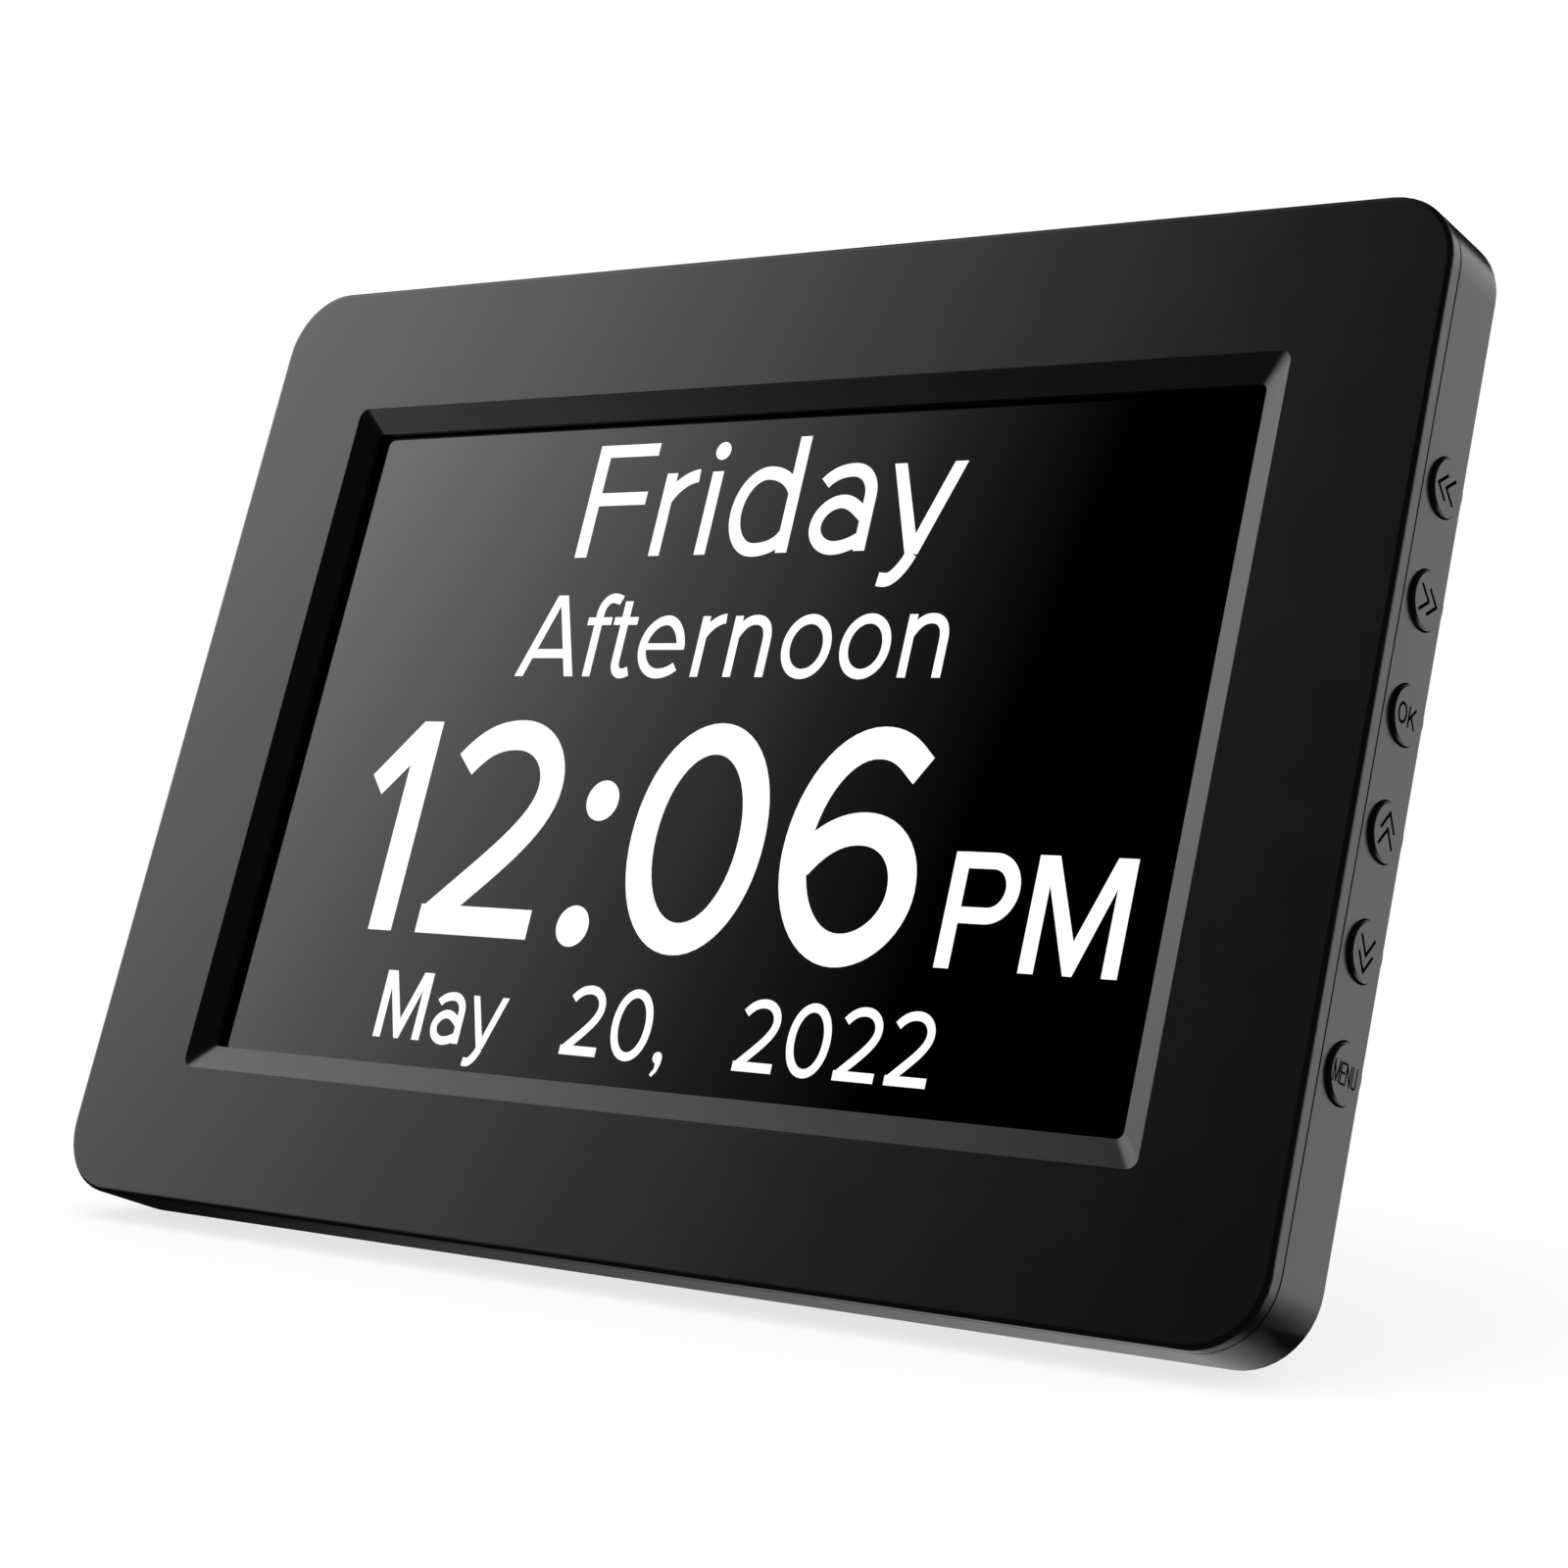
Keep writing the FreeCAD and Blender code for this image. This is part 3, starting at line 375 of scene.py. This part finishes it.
def addStroke(shape, knots, width, thick, closed=False):
    # knots are (x, y, heading, length of the handle behind, length of the handle ahead)
    nib = bpy.data.curves.new("nib", "CURVE")
    square = nib.splines.new("POLY")
    square.points.add(3)
    for point, (x, y) in zip(square.points, ((-1, -1), (1, -1), (1, 1), (-1, 1))):
        point.co = (x * width / 2, y * thick / 2, 0, 1)
    square.use_cyclic_u = True
    nibObject = bpy.data.objects.new("nib", nib)
    path = bpy.data.curves.new("path", "CURVE")
    path.dimensions = "3D"
    path.twist_mode = "Z_UP"
    path.resolution_u = 14
    path.bevel_mode = "OBJECT"
    path.bevel_object = nibObject
    path.use_fill_caps = True
    line = path.splines.new("BEZIER")
    line.bezier_points.add(len(knots) - 1)
    for point, (x, y, heading, behind, ahead) in zip(line.bezier_points, knots):
        along = Vector((math.cos(math.radians(heading)), math.sin(math.radians(heading)), 0))
        place = Vector((x, y, thick / 2))
        point.handle_left_type = point.handle_right_type = "FREE"
        point.co = place
        point.handle_left, point.handle_right = place - along * behind, place + along * ahead
    line.use_cyclic_u = closed
    pathObject = bpy.data.objects.new("path", path)
    for made in (nibObject, pathObject):
        bpy.context.scene.collection.objects.link(made)
    bpy.context.view_layer.update()
    ready = pathObject.evaluated_get(bpy.context.evaluated_depsgraph_get())
    swept = bpy.data.meshes.new_from_object(ready)
    shape.from_mesh(swept)
    for made in (nibObject, pathObject):
        bpy.data.objects.remove(made)
    bpy.data.meshes.remove(swept)


def closeShape(shape, name):
    bmesh.ops.remove_doubles(shape, verts=shape.verts, dist=1e-6)
    bmesh.ops.recalc_face_normals(shape, faces=shape.faces)
    mesh = bpy.data.meshes.new(name)
    shape.to_mesh(mesh)
    shape.free()
    return mesh


def bar(x0, y0, x1, y1):
    return [(x0, y0), (x1, y0), (x1, y1), (x0, y1)]


# Readout letters are drawn in hundredths of their capital's height, with the baseline at 0.
letters = {
    "F": {"plates": [bar(0, 0, 13, 100), bar(0, 89, 66, 100), bar(0, 45.6, 64, 57)]},
    "P": {"plates": [bar(0, 0, 15.2, 100)],
          "strokes": [[(8, 93.1, 0, 0, 10), (41, 93.1, 0, 10, 13), (63.6, 69.5, -90, 13, 13),
                       (41, 45.9, 180, 13, 10), (8, 45.9, 180, 10, 0)]]},
    "M": {"plates": [[(0, 0), (15, 0), (15, 74.6), (43.8, 0), (52.6, 0), (80.8, 74.6), (80.8, 0), (95.8, 0),
                      (95.8, 100), (76.2, 100), (48.2, 28.8), (19.7, 100), (0, 100)]]},
    "A": {"plates": [[(0, 0), (13, 0), (48.2, 87), (55.9, 100), (40.4, 100)],
                     [(93.7, 0), (55.9, 100), (40.4, 100), (48.2, 87), (80, 0)], bar(20, 22.4, 74, 33.5)]},
    "a": {"strokes": [[(6.4, 58, 48, 0, 9), (33, 68.6, 0, 12, 12), (54.6, 46, -90, 13, 6),
                       (54.6, 0, -90, 5, 0)],
                      [(57, 26, 150, 0, 8), (28, 42, 180, 12, 12), (5.7, 21.9, -90, 10.5, 10.5),
                       (28, 2.8, 0, 12, 10), (56, 13, 42, 8, 0)]]},
    "d": {"plates": [bar(56.2, 0, 67.7, 99.5)],
          "strokes": [[(61, 53, 118, 0, 10), (32, 68.9, 180, 13, 14.5), (5.9, 35.6, -90, 18, 18),
                       (32, 2.9, 0, 14.5, 13), (61, 16, 62, 10, 0)]]},
    "e": {"plates": [bar(6, 32.3, 69.6, 40)],
          "strokes": [[(63.8, 33, 90, 0, 14), (35.5, 67.9, 180, 16, 16), (5.8, 35.7, -90, 17.5, 17.5),
                       (36, 3.7, 0, 16, 12), (62, 12.2, 40, 7, 0)]]},
    "f": {"plates": [bar(0, 62.8, 37.4, 72.2)],
          "strokes": [[(17.2, 0, 90, 0, 20), (17.2, 76, 90, 15, 11), (33, 95.7, 0, 9, 4),
                       (46, 92.6, -25, 4, 0)]]},
    "i": {"plates": [bar(0, 0, 11.4, 72.3)], "dots": [(5.9, 90.3, 7.8)]},
    "n": {"plates": [bar(0, 0, 11.4, 72.3)],
          "strokes": [[(5.7, 48, 60, 0, 12), (32, 67.5, 0, 13, 14), (53.1, 43, -90, 15, 8),
                       (53.1, 0, -90, 8, 0)]]},
    "o": {"loops": [[(34.8, 67.8, 180, 16.2, 16.2), (5.8, 35.7, -90, 17.9, 17.9),
                     (34.8, 3.7, 0, 16.2, 16.2), (63.8, 35.7, 90, 17.9, 17.9)]]},
    "r": {"plates": [bar(0, 0, 11.3, 72.3)], "strokes": [[(5.6, 48, 62, 0, 12), (35.6, 69.3, 4, 13, 0)]]},
    "t": {"plates": [bar(0, 62.8, 36.7, 72.2)],
          "strokes": [[(16.8, 91.6, -90, 0, 20), (16.8, 18, -90, 10, 9), (28.5, 3.6, 0, 6, 4),
                       (39.4, 6.4, 24, 4, 0)]]},
    "y": {"plates": [[(28.8, -4), (41, -4), (71.3, 72.2), (58.7, 72.2), (35.2, 12.8), (12, 72.2), (0, 72.2)]],
          "strokes": [[(34.9, -3.6, -111.7, 0, 9), (15, -24.7, 180, 8, 3), (7.6, -24, 174, 2, 0)]]},
    "0": {"loops": [[(37.85, 94.2, 180, 17, 17), (7.5, 49.4, -90, 26, 26),
                     (37.85, 4.7, 0, 17, 17), (68.2, 49.4, 90, 26, 26)]]},
    "1": {"plates": [[(0, 73.5), (8.4, 64.2), (22.5, 78.7), (22.5, 0), (37.2, 0), (37.2, 100), (25, 100)]]},
    "2": {"plates": [bar(0, 0, 68.4, 13.4)],
          "strokes": [[(5.3, 79.7, 47, 0, 10), (35.5, 94.2, 0, 16, 15), (61.3, 70.5, -90, 13, 17),
                       (19.4, 18.8, -139, 28, 8), (4.6, 6, -139, 3, 0)]]},
    "6": {"strokes": [[(64.3, 82, 144, 0, 7), (40.1, 93.8, 180, 13, 19.5), (6.6, 46, -90, 25, 22.5),
                       (38.2, 4.4, 0, 17.5, 15), (65.6, 30.7, 90, 14, 15), (39.8, 56.4, 180, 15, 13),
                       (10, 40, -128, 12, 0)]]},
    ":": {"dots": [(9.25, 64.7, 9.3), (9.25, 7.5, 9.3)]},
    ",": {"dots": [(9.6, 7.6, 8.2)],
          "plates": [[(8, -8), (2, -16.5), (5.5, -19.5), (13, -12), (17.5, 0), (17.8, 8), (8, 1)]]},
}

# Each word: its capital's height, how far it is stretched sideways, the height of its baseline above the
# middle of the face, the pen's width in the letters' own units, and where each letter starts from the middle.
words = {
    "readout_day": {"capital": 16.92, "wide": 0.993, "baseline": 26.46, "pen": 11.4, "letters": [
        ("F", -32.14), ("r", -18.48), ("i", -10.24), ("d", -5.42), ("a", 8.95), ("y", 21.06)]},
    "readout_daypart": {"capital": 11.95, "wide": 0.976, "baseline": 8.85, "pen": 11.7, "letters": [
        ("A", -37.94), ("f", -26.56), ("t", -21.69), ("e", -16.08), ("r", -5.79), ("n", -0.08),
        ("o", 9.0), ("o", 18.73), ("n", 28.96)]},
    "readout_time": {"capital": 30.6, "wide": 0.992, "baseline": -28.64, "pen": 14.2, "letters": [
        ("1", -60.53), ("2", -44.55), (":", -18.68), ("0", -9.39), ("6", 16.98)]},
    "readout_meridiem": {"capital": 14.78, "wide": 1.003, "baseline": -28.57, "pen": 14.1, "letters": [
        ("P", 44.26), ("M", 56.76)]},
    "readout_date": {"capital": 9.37, "wide": 0.983, "baseline": -43.56, "pen": 12.5, "letters": [
        ("M", -47.51), ("a", -36.97), ("y", -30.41), ("2", -12.91), ("0", -4.96), (",", 3.15),
        ("2", 16.52), ("0", 24.27), ("2", 32.53), ("2", 40.48)]},
}
readout = {"thick": 0.05, "sink": 0.02}


def makeWord(name, word, finish):
    shape = bmesh.new()
    size = word["capital"] / 100 * mm
    thick = readout["thick"] * mm
    for letter, left in word["letters"]:
        drawn = letters[letter]
        part = bmesh.new()
        for points in drawn.get("plates", []):
            addPlate(part, points, thick / size)
        for x, y, radius in drawn.get("dots", []):
            addDot(part, x, y, radius, thick / size)
        for knots in drawn.get("strokes", []):
            addStroke(part, knots, word["pen"], thick / size)
        for knots in drawn.get("loops", []):
            addStroke(part, knots, word["pen"], thick / size, closed=True)
        scale = Matrix.Diagonal((size * word["wide"], size, size, 1))
        place = Matrix.Translation((left * mm, word["baseline"] * mm, 0)) @ scale
        bmesh.ops.transform(part, matrix=place, verts=part.verts)
        single = bpy.data.meshes.new("letter")
        part.to_mesh(single)
        part.free()
        shape.from_mesh(single)
        bpy.data.meshes.remove(single)
    upright = Matrix.Rotation(math.pi / 2, 4, "X")
    onGlass = Matrix.Translation((0, (clock["glassDepth"] + readout["sink"]) * mm, 0)) @ upright
    finished(name, closeShape(shape, name), faceToWorld @ onGlass, finish, "case")


pixelWhite = litPixels("lit_pixels")
for name, word in words.items():
    makeWord(name, word, pixelWhite)
print("readout words:", len(words))


# Legends are in millimetres on the end of each key, x towards the back of the clock. A sideways chevron is
# twice reach long and twice half tall, an upright one twice rise tall and twice span wide, and pitch and
# step are the distances between the two of a pair.
legend = {"thick": 0.03, "sunk": 0.8, "chevronPen": 0.43, "letterPen": 0.36, "smallPen": 0.26,
          "overrun": 0.42, "centre": (-0.45, -0.2), "reach": 0.95, "half": 1.5, "pitch": 1.93,
          "rise": 1.0, "span": 1.5, "step": 1.91}


def chevrons(sideways, flip):
    lines = []
    if sideways:
        reach, half, pitch = legend["reach"], legend["half"], legend["pitch"]
    else:
        reach, half, pitch = legend["rise"], legend["span"], legend["step"]
    for shift in (-pitch / 2, pitch / 2):
        points = [(-reach, half), (reach, 0), (-reach, -half)]
        points = [((x + shift) * flip, y) for x, y in points]
        lines.append(points if sideways else [(y, x) for x, y in points])
    return lines


legends = {
    "previous": {"pen": "chevronPen", "middle": (-0.22, -0.06), "lines": chevrons(True, -1)},
    "next": {"pen": "chevronPen", "middle": (0.32, -0.03), "lines": chevrons(True, 1)},
    "up": {"pen": "chevronPen", "middle": (0, 0.42), "lines": chevrons(False, 1)},
    "down": {"pen": "chevronPen", "middle": (0, -0.3), "lines": chevrons(False, -1)},
    "ok": {"pen": "letterPen", "middle": (0, 0), "lines": [
        [(0.36, -1.15), (0.36, 1.13)], [(1.74, 1.15), (0.44, -0.33)], [(0.84, 0.14), (1.82, -1.13)]],
        "loop": [(-1.19, 1.12, 180, 0.42, 0.42), (-2.04, 0, -90, 0.78, 0.78),
                 (-1.19, -1.13, 0, 0.42, 0.42), (-0.32, 0, 90, 0.78, 0.78)]},
    "menu": {"pen": "smallPen", "middle": (0, 0.03), "lines": [
        [(-2.46, -1.16), (-2.46, 1.16), (-1.85, -1.1), (-1.24, 1.16), (-1.24, -1.16)],
        [(0.04, 1.17), (-0.87, 1.17), (-0.87, -1.16), (0.04, -1.16)], [(-0.87, 0.1), (-0.06, 0.1)],
        [(0.34, -1.16), (0.34, 1.16), (1.27, -1.16), (1.27, 1.16)],
        [(1.72, 1.2), (1.72, -0.7), (1.86, -1.04), (2.16, -1.16), (2.46, -1.04), (2.6, -0.7), (2.6, 1.2)]]},
}


def makeLegend(name, drawn, finish):
    shape = bmesh.new()
    pen = legend[drawn["pen"]]
    for points in drawn["lines"]:
        for (x0, y0), (x1, y1) in zip(points, points[1:]):
            heading = math.degrees(math.atan2(y1 - y0, x1 - x0))
            along = Vector((x1 - x0, y1 - y0)).normalized() * pen * legend["overrun"]
            addStroke(shape, [(x0 - along.x, y0 - along.y, heading, 0, 0),
                              (x1 + along.x, y1 + along.y, heading, 0, 0)], pen, legend["thick"])
    if "loop" in drawn:
        addStroke(shape, drawn["loop"], pen, legend["thick"], closed=True)
    middle = Vector(legend["centre"]) + Vector(drawn["middle"])
    bmesh.ops.translate(shape, verts=shape.verts, vec=(middle.x, middle.y, 0))
    low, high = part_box(name + "_key")
    centre = Vector((high.x, (low.y + high.y) / 2, (low.z + high.z) / 2))
    towardsRight = Matrix(((0, 0, 1, 0), (1, 0, 0, 0), (0, 1, 0, 0), (0, 0, 0, 1)))
    sunk = Matrix.Translation((0, 0, -legend["thick"] * legend["sunk"]))
    place = Matrix.Translation(centre) @ faceTurn @ towardsRight @ Matrix.Scale(mm, 4) @ sunk
    mesh = closeShape(shape, name + "_legend")
    finished(name + "_legend", mesh, place, finish, name + "_key_body")


# the keys' legends carry painted shade in place of their engraved recesses
recessShadeBlack = paintedRecessShade("legend_recess_shade")
for name, drawn in legends.items():
    makeLegend(name, drawn, recessShadeBlack)
print("key legends:", len(legends))


# The four screws that close the case, driven from the back; lengths in millimetres.
# The head's dome is (radius, drop from its top), and the slots' foot is a share of their length and width.
caseScrew = {"across": 90, "up": 60, "seat": 9.8, "tip": 2.6, "head": 2.7, "tall": 1.8, "shank": 1.25,
             "core": 0.98, "dome": [(1.2, 0.03), (1.95, 0.2), (2.45, 0.65), (2.7, 1.2), (2.7, 1.72)],
             "headEdge": 0.08, "threadFrom": 0.5, "plainTip": 1.0, "pitch": 0.7, "groove": 0.45,
             "tipTaper": 0.8, "slotWide": 0.95, "slotLong": 3.3, "slotDeep": 1.25, "footLong": 1 / 3,
             "footWide": 0.7, "above": 0.2, "slotTurn": 28, "nextTurn": 37, "sides": 40, "crease": 34}


def cutAway(shape, cutter):
    # returns a new shape with the cutter's form taken out
    solids = []
    for name, source in (("kept", shape), ("cutter", cutter)):
        bmesh.ops.recalc_face_normals(source, faces=source.faces)
        mesh = bpy.data.meshes.new(name)
        source.to_mesh(mesh)
        source.free()
        solids.append(bpy.data.objects.new(name, mesh))
        bpy.context.scene.collection.objects.link(solids[-1])
    cut = solids[0].modifiers.new("cut", "BOOLEAN")
    cut.operation, cut.solver, cut.object = "DIFFERENCE", "EXACT", solids[1]
    bpy.context.view_layer.update()
    ready = solids[0].evaluated_get(bpy.context.evaluated_depsgraph_get())
    left = bpy.data.meshes.new_from_object(ready)
    result = bmesh.new()
    result.from_mesh(left)
    for solid in solids:
        mesh = solid.data
        bpy.data.objects.remove(solid)
        bpy.data.meshes.remove(mesh)
    bpy.data.meshes.remove(left)
    return result


def wedge(long, wide, high, deep):
    # a bar whose foot, at the bottom of the recess, is shorter and narrower
    shape = bmesh.new()
    verts = bmesh.ops.create_cube(shape, size=1)["verts"]
    foot = [v for v in verts if v.co.z < 0]
    bmesh.ops.scale(shape, verts=verts, vec=(long, wide, deep))
    bmesh.ops.scale(shape, verts=foot, vec=(caseScrew["footLong"], caseScrew["footWide"], 1))
    bmesh.ops.translate(shape, verts=verts, vec=(0, 0, high - deep / 2))
    return shape


def smoothRound(mesh, limit):
    # curved faces shade smoothly, and edges sharper than the limit stay crisp
    shape = bmesh.new()
    shape.from_mesh(mesh)
    for face in shape.faces:
        face.smooth = True
    for edge in shape.edges:
        edge.smooth = len(edge.link_faces) == 2 and edge.calc_face_angle() < math.radians(limit)
    shape.to_mesh(mesh)
    shape.free()


def makeCaseScrews(finish):
    screw = caseScrew
    length = screw["seat"] - screw["tip"]
    outline = [(0, screw["tall"])] + [(radius, screw["tall"] - drop) for radius, drop in screw["dome"]]
    outline += [(screw["head"] - screw["headEdge"], 0), (screw["shank"], 0)]
    depth = screw["threadFrom"]
    while depth < length - screw["plainTip"]:
        outline += [(screw["shank"], -depth), (screw["core"], -depth - screw["pitch"] * screw["groove"])]
        depth += screw["pitch"]
    outline += [(screw["core"] * screw["tipTaper"], -length), (0, -length)]
    lathe = bmesh.new()
    points = [lathe.verts.new((r, 0, z)) for r, z in outline]
    edges = [lathe.edges.new(pair) for pair in zip(points, points[1:])]
    bmesh.ops.spin(lathe, geom=points + edges, axis=(0, 0, 1), cent=(0, 0, 0), angle=math.tau,
                   steps=screw["sides"], use_merge=True)
    bmesh.ops.remove_doubles(lathe, verts=lathe.verts, dist=1e-4)
    for turn in (screw["slotTurn"], screw["slotTurn"] + 90):
        slot = wedge(screw["slotLong"], screw["slotWide"], screw["tall"] + screw["above"],
                     screw["slotDeep"] + screw["above"])
        bmesh.ops.rotate(slot, verts=slot.verts, matrix=Matrix.Rotation(math.radians(turn), 3, "Z"))
        lathe = cutAway(lathe, slot)
    single = closeShape(lathe, "case_screw")
    smoothRound(single, screw["crease"])
    group = bmesh.new()
    backwards = Matrix.Rotation(-math.pi / 2, 4, "X")
    for i, (x, z) in enumerate(((-1, -1), (1, -1), (-1, 1), (1, 1))):
        copy = single.copy()
        place = Matrix.Translation((x * screw["across"], screw["seat"], z * screw["up"]))
        turned = Matrix.Rotation(math.radians(screw["nextTurn"] * i), 4, "Z")
        copy.transform(place @ backwards @ turned)
        group.from_mesh(copy)
        bpy.data.meshes.remove(copy)
    mesh = bpy.data.meshes.new("case_screw_set")
    group.to_mesh(mesh)
    group.free()
    bpy.data.meshes.remove(single)
    piece = finished("case_screw_set", mesh, faceToWorld @ Matrix.Scale(mm, 4), finish, "case")
    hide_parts("case_screws")


makeCaseScrews(finishes["screw_steel"])
print("case screws made")


# Lengths are in metres. Each window stop is a share of half a turn to the left and the level there.
studio = {"floorColour": (0.94, 0.94, 0.94, 1), "floorSize": 16, "floorGap": 0.0001, "fade": (0.12, 0.3),
          "shadowLift": 0.75, "diffuseLight": 1.04, "windowLight": 3.2, "rearLight": 1.57,
          "window": [(0.0, 0.0), (0.234, 0.0), (0.25, 0.08), (0.267, 0.27), (0.285, 0.575), (0.303, 0.87),
                     (0.33, 1.0), (0.43, 0.8), (0.5, 0.76), (0.6, 0.3), (0.72, 0.0), (1.0, 0.0)],
          "slant": 0.03, "slantFrom": 0.46, "sill": 0.1, "sillLevel": 0.5, "sillTurn": (0.87, 1.5),
          "sillSlope": (1.1, 2.1), "top": (0.62, 0.86), "topLevel": 0.1, "rear": (0.1, 0.55),
          "rearTop": (0.2, 0.8)}
# Painted light and shade in the floor, seen only by shiny surfaces: a dim glow under the clock that rises to
# the right, and a painted dark spot at its near corner.
paintedFloorGlow = {"across": (-0.1, 0.1), "power": 2.0, "front": (-0.034, -0.03), "level": 0.65,
             "side": (0.092, 0.098), "away": (0.16, 0.3), "corner": (0.101, -0.026, 0),
             "paintedShadeSpot": (0.004, 0.024), "paintedShadeLevel": 0.1}


def studioGlow(maker, direction):
    # what shiny surfaces see: a tall window on the left with soft edges, and a pale wall at the right rear
    x, y, z = maker.parts(direction)
    turn = maker.maths("ARCTAN2", -1 * x, -1 * y)  # radians: 0 in front, positive to the left
    share = maker.maths("ABSOLUTE", turn) / math.pi - (z - studio["slantFrom"]) * studio["slant"]
    window = maker.ramp(share, [(place, (level,) * 3) for place, level in studio["window"]])
    left = turn > 0
    slope = maker.spread(turn, *studio["sillTurn"], *studio["sillSlope"])
    overSill = maker.maths("MAXIMUM", z - studio["sill"], 0.0)
    sill = maker.maths("MINIMUM", 1.0, studio["sillLevel"] + overSill * slope)
    top = maker.spread(z, *studio["top"], 1.0, studio["topLevel"], how="SMOOTHSTEP")
    rear = maker.spread(y, *studio["rear"], how="SMOOTHSTEP")
    low = maker.spread(z, *studio["rearTop"], 1.0, 0.0, how="SMOOTHSTEP")
    return left * window * sill * top * studio["windowLight"] + (1 - left) * rear * low * studio["rearLight"]


def makeFloor():
    shape = bmesh.new()
    bmesh.ops.create_grid(shape, x_segments=1, y_segments=1, size=studio["floorSize"] / 2)
    bmesh.ops.translate(shape, verts=shape.verts, vec=(0, 0, cadLow.z - studio["floorGap"]))
    mesh = bpy.data.meshes.new("floor")
    shape.to_mesh(mesh)
    shape.free()
    floor = bpy.data.objects.new("floor", mesh)
    bpy.context.scene.collection.objects.link(floor)
    # the camera sees matt paint that fades to plain white, and shiny surfaces see in it the studio's glow, a
    # painted glow under the clock and a painted dark spot at its near corner
    paint = Finish("floor_paint")
    radius = paint.vector("LENGTH", paint.here, out=1)
    far = paint.spread(radius, *studio["fade"], studio["shadowLift"], 1.0, how="SMOOTHSTEP")
    camera = paint.node("ShaderNodeLightPath", out=0)
    glossy = paint.node("ShaderNodeLightPath", out=3)
    fromCorner = paint.vector("SUBTRACT", paint.here, paintedFloorGlow["corner"])
    gap = paint.vector("LENGTH", fromCorner, out=1)
    across, deep, _ = paint.parts(paint.here)
    under = (paint.maths("POWER", paint.spread(across, *paintedFloorGlow["across"]), paintedFloorGlow["power"])
             * paint.spread(deep, *paintedFloorGlow["front"], 0.0, paintedFloorGlow["level"]))
    aside = paint.spread(across, *paintedFloorGlow["side"])
    away = paint.maths("MAXIMUM", aside, paint.spread(radius, *paintedFloorGlow["away"]))
    # painted light and shade for shiny surfaces: the glow under the clock, the studio's glow beyond it,
    # darkened by a painted shadow spot near the corner
    glow = (under * (1 - away) + studioGlow(paint, paint.vector("NORMALIZE", fromCorner)) * away
            * paint.spread(gap, *paintedFloorGlow["paintedShadeSpot"], paintedFloorGlow["paintedShadeLevel"], 1.0))
    level = camera + (1 - camera) * (glossy * glow + (1 - glossy) * studio["diffuseLight"])
    matt = paint.node("ShaderNodeBsdfDiffuse", None, {"Color": studio["floorColour"]})
    lit = paint.node("ShaderNodeEmission", None, {"Color": white, "Strength": level})
    mixed = paint.node("ShaderNodeMixShader", None, {0: paint.maths("MAXIMUM", far, glossy), 1: matt, 2: lit})
    paint.node("ShaderNodeOutputMaterial", None, {"Surface": mixed})
    mesh.materials.append(paint.material)


def makeWorld():
    world = bpy.data.worlds.new("studio")
    bpy.context.scene.world = world
    world.use_nodes = True
    sky = NodeMaker(world.node_tree)
    direction = sky.node("ShaderNodeTexCoord", out=0)
    camera = sky.node("ShaderNodeLightPath", out=0)
    glossy = sky.node("ShaderNodeLightPath", out=3)
    glow = studioGlow(sky, direction)
    level = camera + (1 - camera) * (glossy * glow + (1 - glossy) * studio["diffuseLight"])
    shade = sky.node("ShaderNodeBackground", None, {"Color": white, "Strength": level})
    sky.node("ShaderNodeOutputWorld", None, {"Surface": shade})


lamp = {"place": (-0.25, -0.2, 1.0), "aim": (0, 0, 0.06), "size": 1.2, "power": 3.0}


def makeLamp():
    light = bpy.data.lights.new("soft_top", "AREA")
    light.shape = "DISK"
    light.size = lamp["size"]
    light.energy = lamp["power"]
    holder = bpy.data.objects.new("soft_top", light)
    bpy.context.scene.collection.objects.link(holder)
    holder.location = lamp["place"]
    holder.rotation_mode = "QUATERNION"
    holder.rotation_quaternion = (Vector(lamp["aim"]) - Vector(lamp["place"])).to_track_quat("-Z", "Y")
    holder.visible_camera = False
    holder.visible_glossy = False


# The camera stands to the clock's right, level with its screen, and is placed from the middle of the glass.
viewer = {"place": (0.298193, -0.351926, 0.010868), "azimuth": 38.971, "elevation": -1.284, "roll": 0.033,
          "lens": 80.095, "sensor": 36.0, "shift": (-0.0033, -0.1277), "nearest": 0.01}


def makeCamera():
    camera = bpy.data.cameras.new("viewer")
    camera.lens, camera.sensor_width = viewer["lens"], viewer["sensor"]
    camera.shift_x, camera.shift_y = viewer["shift"]
    camera.clip_start = viewer["nearest"]
    stand = bpy.data.objects.new("viewer", camera)
    bpy.context.scene.collection.objects.link(stand)
    bpy.context.scene.camera = stand
    azimuth, elevation = math.radians(viewer["azimuth"]), math.radians(viewer["elevation"])
    looking = Vector((-math.sin(azimuth) * math.cos(elevation), math.cos(azimuth) * math.cos(elevation),
                      -math.sin(elevation)))
    stand.location = glassCentre + Vector(viewer["place"])
    stand.rotation_mode = "QUATERNION"
    rolled = Quaternion((0, 0, 1), math.radians(viewer["roll"]))
    stand.rotation_quaternion = looking.to_track_quat("-Z", "Y") @ rolled


makeFloor()
makeWorld()
makeLamp()
makeCamera()
bpy.context.scene.view_settings.view_transform = "Standard"
print("stage ready")
